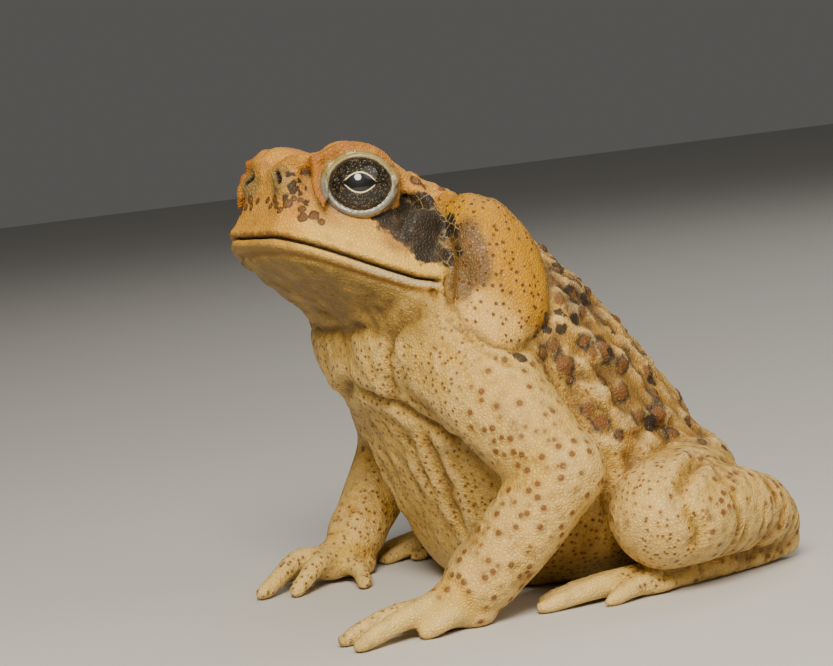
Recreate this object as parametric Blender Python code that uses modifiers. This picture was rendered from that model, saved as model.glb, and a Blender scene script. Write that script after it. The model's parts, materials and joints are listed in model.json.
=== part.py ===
"""A cane toad sitting upright, life size: a still model in closed solids.

The toad faces -Y, its left side is +X and the floor is Z = 0. The tables are in millimetres of a toad
130 mm long from snout to vent, and MM turns them into metres. The head has a frame of its own, in
which x is left, y is forward along the mouth line and z is up from it.
"""

import bpy
import bmesh
import numpy as np
from mathutils import Matrix, Vector

# Driving dimensions
SNOUT_TO_VENT = 130.0
MM = 0.001 * SNOUT_TO_VENT / 130.0
GAP = 0.3
REACH = 200.0
SIDES = ((1, "left"), (-1, "right"))
HEAD_PITCH = np.radians(26.6)
HEAD_YAW = np.radians(8.0)
HEAD_ORIGIN = (0.0, -5.0, 63.4)

# Eye, lids, ear and nostril in the head frame
EYE_RADIUS = 6.8
EYE_CENTRE = (13.6, 20.0, 11.9)
EYE_AXIS = (0.86, 0.50, -0.02)
LID_FORWARD = 2.4
LID_LENGTH = 7.0
LID_HEIGHT = 6.3
LID_THICKNESS = 1.3
EAR_CENTRE = (21.2, 8.6, 6.8)
EAR_RADIUS = 3.2
EAR_DEPTH = 1.6
NOSTRIL = (7.0, 32.6, 8.6)
NOSTRIL_RADII = (1.3, 1.5, 0.7)

# Parotoid gland, and the large warts
GLAND_CENTRE = (23.0, 7.0, 63.0)
GLAND_RADII = (16.5, 9.5, 7.5)
GLAND_LONG_AXIS = (0.25, 0.26, -0.93)
GLAND_OUTWARD = (0.95, 0.05, 0.30)
GLAND_MARGIN = 1.0
WART_SEED = 11
WART_COUNT = 64
WART_HEIGHT = 2.2

# Colours
CREAM = (0.55, 0.43, 0.24)
TAN = (0.46, 0.31, 0.13)
OCHRE = (0.50, 0.31, 0.10)
PALE_YELLOW = (0.60, 0.50, 0.24)
CHARCOAL = (0.10, 0.08, 0.06)
EYE_BROWN = (0.03, 0.02, 0.01)

# Torso from neck to vent: belly y, z, back y, z, half width
TORSO = [
    (-8.0, 65.0, 1.0, 83.0, 16.0),
    (-14.0, 56.0, 8.5, 79.0, 23.0),
    (-15.5, 46.0, 19.0, 72.0, 27.0),
    (-9.5, 32.0, 30.0, 62.0, 30.5),
    (-3.5, 15.5, 41.0, 48.6, 33.0),
    (4.0, 1.5, 50.0, 36.4, 33.5),
    (18.5, -2.2, 56.6, 25.5, 30.5),
    (36.0, -0.5, 61.0, 17.0, 22.0),
    (51.0, 4.0, 62.5, 12.5, 11.0),
]

# Head in its own frame from nape to snout: y, half width, top z, z of the widest line, bottom z
HEAD_ROWS = [
    (-10.0, 20.0, 17.0, 2.0, -15.0),
    (-2.0, 23.0, 18.4, 1.0, -13.5),
    (6.0, 23.7, 18.2, 0.0, -11.2),
    (13.0, 22.2, 17.6, -0.8, -9.4),
    (20.0, 19.3, 16.8, -1.2, -7.8),
    (26.0, 15.6, 15.4, -1.4, -6.6),
    (29.6, 12.0, 13.6, -1.4, -5.0),
    (31.8, 8.4, 11.6, -1.2, -3.8),
]
TOP_NARROWING = 0.40

# Mouth line and the border of the head in the head frame: y, z
MOUTH_LINE = [(3.2, -1.9), (10.0, -2.1), (18.0, -2.2), (26.0, -1.8), (60.0, -0.8)]
HEAD_BORDER = [(-9.0, 45.0), (-6.0, 19.0), (-1.5, 2.0), (1.5, -5.0), (4.5, -11.6), (12.0, -12.5), (60.0, -14.0)]

# Bony crest and the ridge before the eye in the head frame: chains of x, y, z, radius
CREST = [
    (1.8, 32, 10.4, 1.5), (6, 31.4, 12.6, 1.6), (10, 29.8, 13.6, 1.6), (12.2, 27.6, 14.8, 1.5), (11.4, 23, 17.4, 1.5),
    (11.2, 16, 18.2, 1.6), (14, 10.5, 16.4, 1.7), (18, 6, 13, 1.7), (20.6, 4, 9.6, 1.6),
]
PREOCULAR_RIDGE = [(12.4, 29.4, 13.0, 1.5), (14.6, 29, 8.6, 1.5), (16.2, 28, 4.6, 1.5)]

# Limbs as chains of x, y, z, radius, for the left side
UPPER_ARM = [(20, 0, 51, 11.5), (28, 0.5, 43, 10.6), (36, 2.8, 34.5, 9.4), (42, 6.6, 26.5, 8.2)]
FOREARM = [(42, 6.6, 26.5, 8.2), (41.5, 1.4, 20.5, 7.8), (40, -4.5, 14, 7.3), (38, -9.8, 8.8, 6.6)]
PALM = [(38, -9.8, 8.8, 6.6), (37.5, -13.5, 6, 5.3), (37.2, -17.5, 4.6, 4.2), (37.6, -21, 4.2, 3.4)]
UPPER_ARM_FAR = [(20, 2, 51, 11), (28, 5, 43, 10.2), (36, 9, 34, 9), (41, 12, 26, 8.2)]
FOREARM_FAR = [(41, 12, 26, 8.2), (40, 8, 20.5, 7.4), (37, 2, 14, 6.6), (33.5, -3.5, 8.8, 5.8)]
PALM_FAR = [(33.5, -3.5, 8.8, 5.8), (31, -7, 6.4, 5), (29, -11, 5, 4.2), (28, -14.5, 4.6, 3.4)]
THIGH = [(16, 48, 15, 11), (29, 42, 15, 10.6), (40, 33, 15.4, 10.8), (46, 25.8, 15.4, 10.6)]
SHANK = [(47, 30, 14.2, 9.2), (45, 38, 13.8, 8.8), (42.5, 46.5, 12.4, 7.8), (40, 52.5, 9.8, 5.8), (38, 56, 7.4, 4.2)]
FOOT = [(37, 57, 4.2, 3.6), (39, 49, 2.8, 2.9), (41, 38, 2.6, 2.8), (41.5, 29, 2.8, 3.2), (40.5, 23, 2.8, 2.8)]
FOOT_PADS = [(38, 25.5, 1.7), (40.5, 22.5, 1.7), (43, 24, 1.7)]
ELBOW_NORMAL = (-0.25, 0.2, 0.95)
WRIST_NORMAL = (0.05, 0.8, 0.6)

# Fingers and toes: chains of x, y, z, radius, the first the innermost
FINGERS = [
    [(34.5, -15, 4, 2.4), (29, -19, 3.4, 2.1), (24.5, -22.5, 2, 1.8), (23, -24.5, 1.1, 1.5)],
    [(36, -20, 4, 2.5), (33.5, -26, 4, 2.1), (33, -33, 2.4, 1.8), (33.4, -37, 1.1, 1.5)],
    [(38, -20.5, 4.2, 2.7), (38.8, -26, 4.4, 2.3), (40, -33, 2.6, 1.8), (40.6, -37, 1.2, 1.6)],
    [(39.4, -16.5, 3.6, 2.4), (41.2, -19.4, 3.2, 2.1), (41.6, -22.2, 2.2, 1.8), (41, -24, 1.2, 1.6)],
]
FINGERS_FAR = [
    [(26, -9.5, 4, 2.3), (21, -9.5, 3.2, 2), (16.5, -10.5, 1.8, 1.7), (14.5, -11.5, 1.1, 1.5)],
    [(26.5, -13.5, 4.8, 2.5), (23.5, -17.5, 5.2, 2.2), (21, -22, 2.8, 1.8), (20, -24.5, 1.1, 1.5)],
    [(28.5, -15, 5, 2.6), (28.8, -19.5, 6, 2.3), (26, -26, 3.2, 1.9), (24.3, -30, 1.2, 1.6)],
    [(31.5, -12.5, 4, 2.4), (34, -16.5, 3.6, 2.1), (35.5, -20.5, 1.9, 1.8), (36, -23, 1.1, 1.5)],
]
TOES = [
    [(36, 27, 2.6, 2), (33, 23.5, 2.2, 1.8), (30.5, 19.5, 1.6, 1.5), (29.5, 17.5, 0.9, 1.3)],
    [(37.5, 23.5, 2.8, 2.1), (35.2, 18, 2.6, 1.9), (33.4, 12, 1.8, 1.6), (32.8, 9.2, 0.9, 1.3)],
    [(39, 22, 3, 2.3), (37.8, 14.5, 3, 2), (36.4, 7, 2, 1.7), (35.8, 3.2, 1.0, 1.4)],
    [(40.5, 20.0, 3.0, 2.5), (41.2, 12.5, 3.0, 2.2), (41.0, 4.5, 1.9, 1.7), (40.6, 0.4, 1.0, 1.4)],
    [(42.5, 25, 3, 2.3), (44.6, 19.5, 2.6, 2), (45.8, 14.5, 1.7, 1.6), (46.2, 12, 0.9, 1.3)],
]


def head_frame():
    """Head frame to toad frame: columns left, forward and up, turned by yaw and lifted by pitch.

    Left, forward and up make a left-handed set, so placed() turns the faces back.
    """
    cy, sy = np.cos(HEAD_YAW), np.sin(HEAD_YAW)
    cp, sp = np.cos(HEAD_PITCH), np.sin(HEAD_PITCH)
    left = Vector((cy, sy, 0.0))
    ahead = Vector((sy * cp, -cy * cp, sp))
    up = ahead.cross(left)
    frame = Matrix((left, ahead, up)).transposed().to_4x4()
    frame.translation = Vector(HEAD_ORIGIN)
    return frame


HEAD = head_frame()


def rows(table, steps):
    """Rows between the rows of a table by a cubic through them (Catmull-Rom), steps to each span."""
    knots = np.array(table, dtype=float)
    padded = np.vstack([2 * knots[0] - knots[1], knots, 2 * knots[-1] - knots[-2]])
    out = []
    for i in range(len(knots) - 1):
        a, b, c, d = padded[i:i + 4]
        for s in np.arange(steps) / steps:
            out.append(b + 0.5 * s * (c - a + s * (2 * a - 5 * b + 4 * c - d + s * (3 * b - a - 3 * c + d))))
    out.append(knots[-1])
    return np.array(out)


def linked(name, data):
    """A helper object in the workshop collection."""
    obj = bpy.data.objects.new(name, data)
    workshop.objects.link(obj)
    return obj


def placed(obj, frame):
    """Moves the mesh by a frame and turns its faces back where the frame is left-handed."""
    obj.data.transform(frame)
    if frame.determinant() < 0:
        obj.data.flip_normals()
    obj.data.update()
    return obj


def through(rings):
    """A closed mesh through equal rings of points, with a fan of triangles at each end."""
    count, sides = rings.shape[:2]
    verts = np.vstack([rings.reshape(-1, 3), rings[0].mean(axis=0), rings[-1].mean(axis=0)])
    last = count * sides
    faces = []
    for j in range(sides):
        k = (j + 1) % sides
        for i in range(count - 1):
            faces.append((i * sides + j, i * sides + k, (i + 1) * sides + k, (i + 1) * sides + j))
        faces.append((last, k, j))
        faces.append((last + 1, last - sides + j, last - sides + k))
    mesh = bpy.data.meshes.new("loft")
    mesh.from_pydata(verts.tolist(), [], faces)
    work = bmesh.new()
    work.from_mesh(mesh)
    bmesh.ops.recalc_face_normals(work, faces=work.faces)
    work.to_mesh(mesh)
    work.free()
    return linked("loft", mesh)


def as_mesh(curve_object):
    """A mesh object from a curve object, its caps welded on."""
    graph = bpy.context.evaluated_depsgraph_get()
    mesh = bpy.data.meshes.new_from_object(curve_object.evaluated_get(graph))
    work = bmesh.new()
    work.from_mesh(mesh)
    bmesh.ops.remove_doubles(work, verts=work.verts, dist=0.0001)
    bmesh.ops.recalc_face_normals(work, faces=work.faces)
    work.to_mesh(mesh)
    work.free()
    curve = curve_object.data
    bpy.data.objects.remove(curve_object)
    bpy.data.curves.remove(curve)
    return linked("solid", mesh)


def tube(chain, side=1, in_head=False, closed=False):
    """A round tube along a chain of x, y, z, radius, with a ball at each open end."""
    curve = bpy.data.curves.new("tube", "CURVE")
    curve.dimensions = "3D"
    curve.bevel_depth = 1.0
    curve.bevel_resolution = 4
    curve.resolution_u = 5
    curve.use_fill_caps = not closed
    spline = curve.splines.new("BEZIER")
    spline.bezier_points.add(len(chain) - 1)
    spline.use_cyclic_u = closed
    for point, (x, y, z, radius) in zip(spline.bezier_points, chain):
        point.co = (x * side, y, z)
        point.radius = radius
        point.handle_left_type = "AUTO"
        point.handle_right_type = "AUTO"
    frame = HEAD if in_head else Matrix()
    pieces = [placed(as_mesh(linked("tube", curve)), frame)]
    if not closed:
        for x, y, z, radius in (chain[0], chain[-1]):
            pieces.append(ball((x * side, y, z), [radius] * 3, frame, detail=2))
    return pieces


def ball(centre, radii, frame=Matrix(), turn=Matrix(), detail=3):
    """An ellipsoid; frame places its centre and turn turns its axes."""
    mesh = bpy.data.meshes.new("ball")
    work = bmesh.new()
    bmesh.ops.create_icosphere(work, subdivisions=detail, radius=1.0)
    work.to_mesh(mesh)
    work.free()
    shape = frame @ Matrix.Translation(Vector(centre)) @ turn @ Matrix.Diagonal((*radii, 1.0))
    return placed(linked("ball", mesh), shape)


def prism(outline, half_width):
    """A flat outline of y, z points of the head frame made solid from x = -half_width to +half_width."""
    curve = bpy.data.curves.new("prism", "CURVE")
    curve.dimensions = "2D"
    curve.fill_mode = "BOTH"
    curve.extrude = half_width
    spline = curve.splines.new("POLY")
    spline.points.add(len(outline) - 1)
    spline.use_cyclic_u = True
    for point, (y, z) in zip(spline.points, outline):
        point.co = (y, z, 0.0, 1.0)
    upright = Matrix(((0, 0, 1, 0), (1, 0, 0, 0), (0, 1, 0, 0), (0, 0, 0, 1)))
    return placed(as_mesh(linked("prism", curve)), HEAD @ upright)


def block(centre, size, frame=Matrix()):
    """A box of the given size."""
    mesh = bpy.data.meshes.new("block")
    work = bmesh.new()
    bmesh.ops.create_cube(work, size=1.0)
    work.to_mesh(mesh)
    work.free()
    return placed(linked("block", mesh), frame @ Matrix.Translation(Vector(centre)) @ Matrix.Diagonal((*size, 1.0)))


def drum(centre, radius, depth, side):
    """A round plug along the head's x axis, from a little inside its centre outward."""
    mesh = bpy.data.meshes.new("drum")
    work = bmesh.new()
    bmesh.ops.create_cone(work, cap_ends=True, segments=24, radius1=radius, radius2=radius, depth=depth)
    work.to_mesh(mesh)
    work.free()
    middle = Vector((centre[0] * side + (depth / 2 - EAR_DEPTH) * side, centre[1], centre[2]))
    shape = HEAD @ Matrix.Translation(middle) @ Matrix.Diagonal((1.0, 1.0, 1.15, 1.0))
    return placed(linked("drum", mesh), shape @ Matrix.Rotation(np.pi / 2, 4, "Y"))


def torso_loft(sides=40, power=2.2):
    """Rings mid + half * cos + width * sin, each a superellipse between its belly and back points."""
    angle = np.linspace(0.0, 2 * np.pi, sides, endpoint=False)
    c = np.sign(np.cos(angle)) * np.abs(np.cos(angle)) ** (2 / power)
    s = np.sign(np.sin(angle)) * np.abs(np.sin(angle)) ** (2 / power)
    rings = []
    for by, bz, dy, dz, width in rows(TORSO, 4):
        y = (by + dy) / 2 + (dy - by) / 2 * c
        z = (bz + dz) / 2 + (dz - bz) / 2 * c
        rings.append(np.column_stack([width * s, y, z]))
    return through(np.array(rings))


def head_loft(sides=44, power=2.7):
    """Rings across the head, widest at the mouth: x = width * sin, narrowed towards the top."""
    angle = np.linspace(0.0, 2 * np.pi, sides, endpoint=False)
    c = np.sign(np.cos(angle)) * np.abs(np.cos(angle)) ** (2 / power)
    s = np.sign(np.sin(angle)) * np.abs(np.sin(angle)) ** (2 / power)
    above = np.maximum(c, 0.0)
    below = np.minimum(c, 0.0)
    rings = []
    for y, width, top, widest, bottom in rows(HEAD_ROWS, 4):
        x = width * s * (1 - TOP_NARROWING * above ** 1.3)
        z = widest + (top - widest) * above + (widest - bottom) * below
        rings.append(np.column_stack([x, np.full(sides, y), z]))
    return placed(through(np.array(rings)), HEAD)


def applied(obj):
    """The object with its modifiers made real."""
    graph = bpy.context.evaluated_depsgraph_get()
    mesh = bpy.data.meshes.new_from_object(obj.evaluated_get(graph))
    obj.modifiers.clear()
    old = obj.data
    obj.data = mesh
    bpy.data.meshes.remove(old)
    return obj


def removed(*objects):
    """Takes helper objects and their meshes out of the file."""
    for obj in objects:
        mesh = obj.data
        bpy.data.objects.remove(obj)
        bpy.data.meshes.remove(mesh)


def copied(obj):
    """A separate copy of an object."""
    return linked(obj.name, obj.data.copy())


def fused(pieces, voxel, smooth, faces):
    """Overlapping closed pieces made one closed surface, smoothed and reduced to about so many faces."""
    work = bmesh.new()
    for piece in pieces:
        work.from_mesh(piece.data)
    removed(*pieces)
    mesh = bpy.data.meshes.new("fused")
    work.to_mesh(mesh)
    work.free()
    obj = linked("fused", mesh)
    remesh = obj.modifiers.new("remesh", "REMESH")
    remesh.mode = "VOXEL"
    remesh.voxel_size = voxel
    soften = obj.modifiers.new("soften", "SMOOTH")
    soften.factor = 0.5
    soften.iterations = smooth
    applied(obj)
    fewer = obj.modifiers.new("fewer", "DECIMATE")
    fewer.ratio = faces / (4 * len(obj.data.polygons))
    return applied(obj)


def largest(obj):
    """Keeps only the largest closed surface of an object, in triangles."""
    work = bmesh.new()
    work.from_mesh(obj.data)
    unseen = set(work.verts)
    shells = []
    while unseen:
        front = [unseen.pop()]
        shell = set(front)
        while front:
            for edge in front.pop().link_edges:
                for vert in edge.verts:
                    if vert in unseen:
                        unseen.discard(vert)
                        shell.add(vert)
                        front.append(vert)
        span = np.max([v.co for v in shell], axis=0) - np.min([v.co for v in shell], axis=0)
        shells.append((float(np.prod(span)), shell))
    shells.sort(key=lambda item: item[0])
    extra = [vert for size, shell in shells[:-1] for vert in shell]
    bmesh.ops.delete(work, geom=extra, context="VERTS")
    bmesh.ops.triangulate(work, faces=work.faces)
    work.to_mesh(obj.data)
    work.free()
    return obj


def combined(obj, other, operation, keep=False):
    """One Boolean with another object, which is removed unless it is kept.

    MANIFOLD, because EXACT takes minutes over the many cuts of surfaces this dense.
    """
    boolean = obj.modifiers.new("boolean", "BOOLEAN")
    boolean.operation = operation
    boolean.solver = "MANIFOLD"
    boolean.object = other
    applied(obj)
    if not keep:
        removed(other)
    return largest(obj)


def grown(obj):
    """A copy of an object with every point moved out along its normal by the gap."""
    twin = copied(obj)
    mesh = twin.data
    points = np.zeros(len(mesh.vertices) * 3)
    normals = np.zeros(len(mesh.vertices) * 3)
    mesh.vertices.foreach_get("co", points)
    mesh.vertices.foreach_get("normal", normals)
    mesh.vertices.foreach_set("co", points + GAP * normals)
    mesh.update()
    return twin


def clear_of(obj, *others):
    """The object with each of the others, grown by the gap, cut out of it."""
    for other in others:
        combined(obj, grown(other), "DIFFERENCE")
    return obj


def parted(obj, point, normal):
    """The object as two pieces either side of a plane, the gap apart: the normal's side comes first."""
    turn = Vector(normal).to_track_quat("Z", "Y").to_matrix().to_4x4()
    frame = Matrix.Translation(Vector(point)) @ turn
    other = copied(obj)
    middle = (REACH + GAP) / 2
    combined(obj, block((0, 0, middle), (REACH, REACH, REACH), frame), "INTERSECT")
    combined(other, block((0, 0, -middle), (REACH, REACH, REACH), frame), "INTERSECT")
    return obj, other


def axes_turn(first_axis, outward):
    """A turn whose x axis is the first axis and whose z axis points outward."""
    first = Vector(first_axis).normalized()
    third = Vector(outward)
    third = (third - first * third.dot(first)).normalized()
    return Matrix((first, third.cross(first), third)).transposed().to_4x4()


def sided(values, side):
    """A point or direction with its x mirrored for the right side."""
    return (values[0] * side, values[1], values[2])


def gland(side, more=0.0):
    """The parotoid gland's ellipsoid, each radius larger by more."""
    turn = axes_turn(sided(GLAND_LONG_AXIS, side), sided(GLAND_OUTWARD, side))
    return ball(sided(GLAND_CENTRE, side), [r + more for r in GLAND_RADII], turn=turn)


def lip_line(height, inset, radius):
    """The edge of the mouth as a chain round the snout: the head's half width against y."""
    line = [row for row in HEAD_ROWS if row[0] > MOUTH_LINE[0][0]]
    left = [(width - inset, y, height, radius) for y, width, *rest in line]
    right = [(-x, y, z, r) for x, y, z, r in left[::-1]]
    return left + [(0.0, left[-1][1] + 0.3, height, radius)] + right


def eye_ring(side):
    """A closed chain round the eye's opening, square to the eye's axis."""
    axis = Vector(sided(EYE_AXIS, side)).normalized()
    turn = axes_turn((-0.5 * side, 0.86, 0.0), axis).to_3x3()
    centre = Vector(sided(EYE_CENTRE, side)) + axis * LID_FORWARD
    ring = []
    for angle in np.linspace(0, 2 * np.pi, 12, endpoint=False):
        point = centre + turn @ Vector((LID_LENGTH * np.cos(angle), LID_HEIGHT * np.sin(angle), 0.0))
        ring.append((*point, LID_THICKNESS))
    return ring


def head_pieces():
    """Head, brows, lids, crests, nostril mounds and lips."""
    pieces = [head_loft()]
    pieces += tube(lip_line(-0.6, 0.7, 1.2), in_head=True)
    pieces += tube(lip_line(-3.3, 1.2, 1.0), in_head=True)
    for side, word in SIDES:
        pieces.append(ball((11.6 * side, 19.2, 11.6), (8.2, 8.8, 7.0), HEAD))
        pieces.append(ball((12.0 * side, 20.4, 16.0), (6.8, 8.0, 4.0), HEAD))
        pieces += tube(CREST, side, in_head=True)
        pieces += tube(PREOCULAR_RIDGE, side, in_head=True)
        pieces += tube(eye_ring(side), in_head=True, closed=True)
        pieces.append(ball((6.4 * side, 30.8, 8.4), (2.8, 2.4, 2.8), HEAD))
        pieces.append(ball(sided(EAR_CENTRE, side), (2.0, 4.4, 4.8), HEAD))
    return pieces


def warts():
    """Flattened balls set on the torso's own surface, from back to flank, each drawn at random."""
    rng = np.random.default_rng(WART_SEED)
    line = rows(TORSO, 4)
    pieces = []
    for index in range(WART_COUNT):
        belly_y, belly_z, back_y, back_z, width = line[rng.integers(6, 28)]
        around = rng.uniform(0.12, 1.7) * (1 if index % 2 else -1)
        c, s = np.cos(around), np.sin(around)
        half_y, half_z = (back_y - belly_y) / 2, (back_z - belly_z) / 2
        point = (width * s, belly_y + half_y * (1 + c), belly_z + half_z * (1 + c))
        half = np.hypot(half_y, half_z)
        outward = Vector((s / width, c * half_y / half ** 2, c * half_z / half ** 2))
        turn = outward.to_track_quat("Z", "Y").to_matrix().to_4x4()
        radius = rng.uniform(1.8, 3.0)
        pieces.append(ball(point, (radius, radius, WART_HEIGHT), turn=turn, detail=2))
    return pieces


def torso_pieces():
    """Torso, breast, shoulder and hip swellings, glands and the large warts of the back."""
    pieces = [torso_loft()]
    for side, word in SIDES:
        pieces.append(ball((9.5 * side, -9.5, 51.0), (9.0, 6.0, 8.5)))
        pieces.append(ball((18.0 * side, -2.0, 53.0), (11.0, 11.0, 11.0)))
        pieces.append(ball((9.0 * side, 47.0, 14.5), (11.0, 13.0, 10.5)))
        pieces.append(gland(side))
    return pieces + warts()


def arm_pieces(upper_line, lower_line, palm_line, side):
    """Upper arm, forearm and palm with the pads of its heel and knuckles."""
    pieces = tube(upper_line, side) + tube(lower_line, side) + tube(palm_line, side)
    knuckle, heel = palm_line[-1], palm_line[1]
    pieces.append(ball((knuckle[0] * side, knuckle[1] + 2.0, knuckle[2] - 1.0), (4.6, 4.4, 2.6)))
    pieces.append(ball((heel[0] * side, heel[1] + 1.0, 2.6), (5.0, 4.6, 3.4)))
    return pieces


def digit(chain, side, *neighbours):
    """A finger or toe along its chain, cut clear of what it grows from and of its neighbours."""
    return clear_of(fused(tube(chain, side), voxel=0.4, smooth=2, faces=170), *neighbours)


def add_node(name, obj, colour, roughness):
    """Keeps an object as a node of the toad, with its own Principled material."""
    finish = bpy.data.materials.new(name)
    finish.use_nodes = True
    shader = finish.node_tree.nodes["Principled BSDF"]
    shader.inputs["Base Color"].default_value = (*colour, 1.0)
    shader.inputs["Roughness"].default_value = roughness
    obj.name = name
    obj.data.name = name
    obj.data.materials.clear()
    obj.data.materials.append(finish)
    workshop.objects.unlink(obj)
    toad.objects.link(obj)
    return obj


for start_object in list(bpy.data.objects):
    bpy.data.objects.remove(start_object)
toad = bpy.data.collections.new("cane_toad")
workshop = bpy.data.collections.new("workshop")
for collection in (toad, workshop):
    bpy.context.scene.collection.children.link(collection)

# Body and head as one surface, then the sockets, nostrils, ears and glands cut from it
body = fused(head_pieces() + torso_pieces(), voxel=0.8, smooth=4, faces=6800)
whole = copied(body)
for side, word in SIDES:
    centre = sided(EYE_CENTRE, side)
    add_node("eye_" + word, ball(centre, [EYE_RADIUS] * 3, HEAD), EYE_BROWN, 0.1)
    combined(body, ball(centre, [EYE_RADIUS + GAP] * 3, HEAD), "DIFFERENCE")
    slant = Matrix.Rotation(-0.5 * side, 4, "Z")
    combined(body, ball(sided(NOSTRIL, side), NOSTRIL_RADII, HEAD, slant, detail=2), "DIFFERENCE")
    ear_plug = drum(EAR_CENTRE, EAR_RADIUS, REACH / 10, side)
    ear = combined(copied(body), ear_plug, "INTERSECT", keep=True)
    add_node("tympanum_" + word, ear, CHARCOAL, 0.6)
    clear_of(body, ear_plug)
    removed(ear_plug)
    gland_solid = combined(copied(body), gland(side, GLAND_MARGIN), "INTERSECT")
    add_node("parotoid_gland_" + word, gland_solid, OCHRE, 0.5)
    combined(body, gland(side, GLAND_MARGIN + GAP), "DIFFERENCE")

# Head, lower jaw and torso parted by thin cuts
head_block = prism(HEAD_BORDER + [(60.0, 45.0)], 60.0)
jaw_block = prism([(5.0, -20.0)] + MOUTH_LINE + [(60.0, -20.0)], 60.0)
head = combined(copied(body), head_block, "INTERSECT", keep=True)
jaw = combined(copied(head), jaw_block, "INTERSECT", keep=True)
add_node("torso", clear_of(body, head_block), CREAM, 0.55)
add_node("head", clear_of(head, jaw_block), TAN, 0.5)
add_node("lower_jaw", jaw, CREAM, 0.5)
removed(head_block, jaw_block)

# Arms cut clear of the body, then parted at elbow and wrist, with four fingers each
arms = {"left": (UPPER_ARM, FOREARM, PALM, FINGERS), "right": (UPPER_ARM_FAR, FOREARM_FAR, PALM_FAR, FINGERS_FAR)}
arm_solids = {}
for side, word in SIDES:
    upper_line, lower_line, palm_line, finger_lines = arms[word]
    arm = clear_of(fused(arm_pieces(upper_line, lower_line, palm_line, side), 0.6, 4, 1100), whole)
    arm_solids[word] = copied(arm)
    upper, rest = parted(arm, sided(lower_line[0], side), sided(ELBOW_NORMAL, side))
    fore, hand = parted(rest, sided(palm_line[0], side), sided(WRIST_NORMAL, side))
    add_node("upper_arm_" + word, upper, CREAM, 0.55)
    add_node("forearm_" + word, fore, CREAM, 0.55)
    made = [add_node("hand_" + word, hand, PALE_YELLOW, 0.5)]
    for number, chain in enumerate(finger_lines, 1):
        finger = digit(chain, side, *made)
        made.append(add_node("finger_%d_%s" % (number, word), finger, PALE_YELLOW, 0.5))

# Folded hind legs: each piece cut clear of those before it, with five toes each
for side, word in SIDES:
    thigh = clear_of(fused(tube(THIGH, side), 0.8, 3, 640), whole, arm_solids[word])
    shank = clear_of(fused(tube(SHANK, side), 0.8, 3, 560), whole, thigh)
    pads = [ball(sided(point, side), (3.6, 5.2, 1.6)) for point in FOOT_PADS]
    foot = clear_of(fused(tube(FOOT, side) + pads, 0.5, 3, 520), whole, thigh, shank)
    add_node("thigh_" + word, thigh, CREAM, 0.55)
    add_node("shank_" + word, shank, TAN, 0.55)
    made = [add_node("foot_" + word, foot, TAN, 0.55)]
    for number, chain in enumerate(TOES, 1):
        toe = digit(chain, side, *made, whole)
        made.append(add_node("toe_%d_%s" % (number, word), toe, PALE_YELLOW, 0.5))

# Flats on the floor
floor = block((0, 0, -REACH / 2), (REACH * 2, REACH * 2, REACH))
for obj in toad.objects:
    combined(obj, floor, "DIFFERENCE", keep=True)
removed(floor, whole, *arm_solids.values())

# The bottom centre of the whole toad's box becomes the origin, and millimetres become metres
corners = np.array([vert.co for obj in toad.objects for vert in obj.data.vertices])
low, high = corners.min(axis=0), corners.max(axis=0)
shift = Matrix.Translation(Vector((-(low[0] + high[0]) / 2, -(low[1] + high[1]) / 2, -low[2])))
for obj in toad.objects:
    obj.data.transform(Matrix.Scale(MM, 4) @ shift)
    obj.data.update()
print("nodes", len(toad.objects), "triangles", sum(len(obj.data.polygons) for obj in toad.objects))
print("size mm", np.round(high - low, 1), "shift mm", np.round(shift.translation, 2))
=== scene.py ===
# %% [markdown]
# # A cane toad, life size, as a museum model
#
# The toad sits upright on its folded hind legs with its chin up. On the real animal one skin runs over
# everything: there is no seam between arm and chest or between thigh and shank, only folds. So this lesson
# makes a single skin from a distance field, in which neighbouring forms flow into each other, and then
# moves its points to shape lids, lips, folds and warts. Only the two eyes are pieces of their own.
#
# The solids of the CAD model come first, because everything made here has to lie where they are.

# %% Load the solids
import json
import bmesh
import bpy
import numpy as np
import openvdb
from mathutils import Matrix, Vector

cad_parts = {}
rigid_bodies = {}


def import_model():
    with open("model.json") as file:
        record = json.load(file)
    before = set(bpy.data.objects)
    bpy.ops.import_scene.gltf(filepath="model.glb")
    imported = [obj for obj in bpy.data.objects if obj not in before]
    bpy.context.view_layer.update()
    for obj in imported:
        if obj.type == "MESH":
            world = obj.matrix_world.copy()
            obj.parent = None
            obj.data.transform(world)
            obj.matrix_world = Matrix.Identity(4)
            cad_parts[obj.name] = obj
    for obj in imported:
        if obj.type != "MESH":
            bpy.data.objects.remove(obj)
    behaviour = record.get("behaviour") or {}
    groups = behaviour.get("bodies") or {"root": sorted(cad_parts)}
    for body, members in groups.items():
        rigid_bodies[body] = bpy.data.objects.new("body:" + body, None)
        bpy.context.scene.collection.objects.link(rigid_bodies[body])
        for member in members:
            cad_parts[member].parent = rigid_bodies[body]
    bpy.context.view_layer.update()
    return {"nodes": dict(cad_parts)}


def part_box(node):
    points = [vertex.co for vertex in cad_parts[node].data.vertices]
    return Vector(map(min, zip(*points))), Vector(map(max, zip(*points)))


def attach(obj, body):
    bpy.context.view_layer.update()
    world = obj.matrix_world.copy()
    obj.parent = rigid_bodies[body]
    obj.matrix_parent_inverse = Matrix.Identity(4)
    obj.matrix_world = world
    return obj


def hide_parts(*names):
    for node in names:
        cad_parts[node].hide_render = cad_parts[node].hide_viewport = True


for start_object in list(bpy.data.objects):
    bpy.data.objects.remove(start_object)
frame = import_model()

# %% [markdown]
# ## Two frames
#
# All tables are in millimetres of the toad itself, which faces -Y with its left side at +X. The head is
# turned and lifted, so it has a frame of its own: x to its left, y along the mouth line, z up from it.
# Features that come in pairs are written once, for the left side, and mirrored in x.

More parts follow.
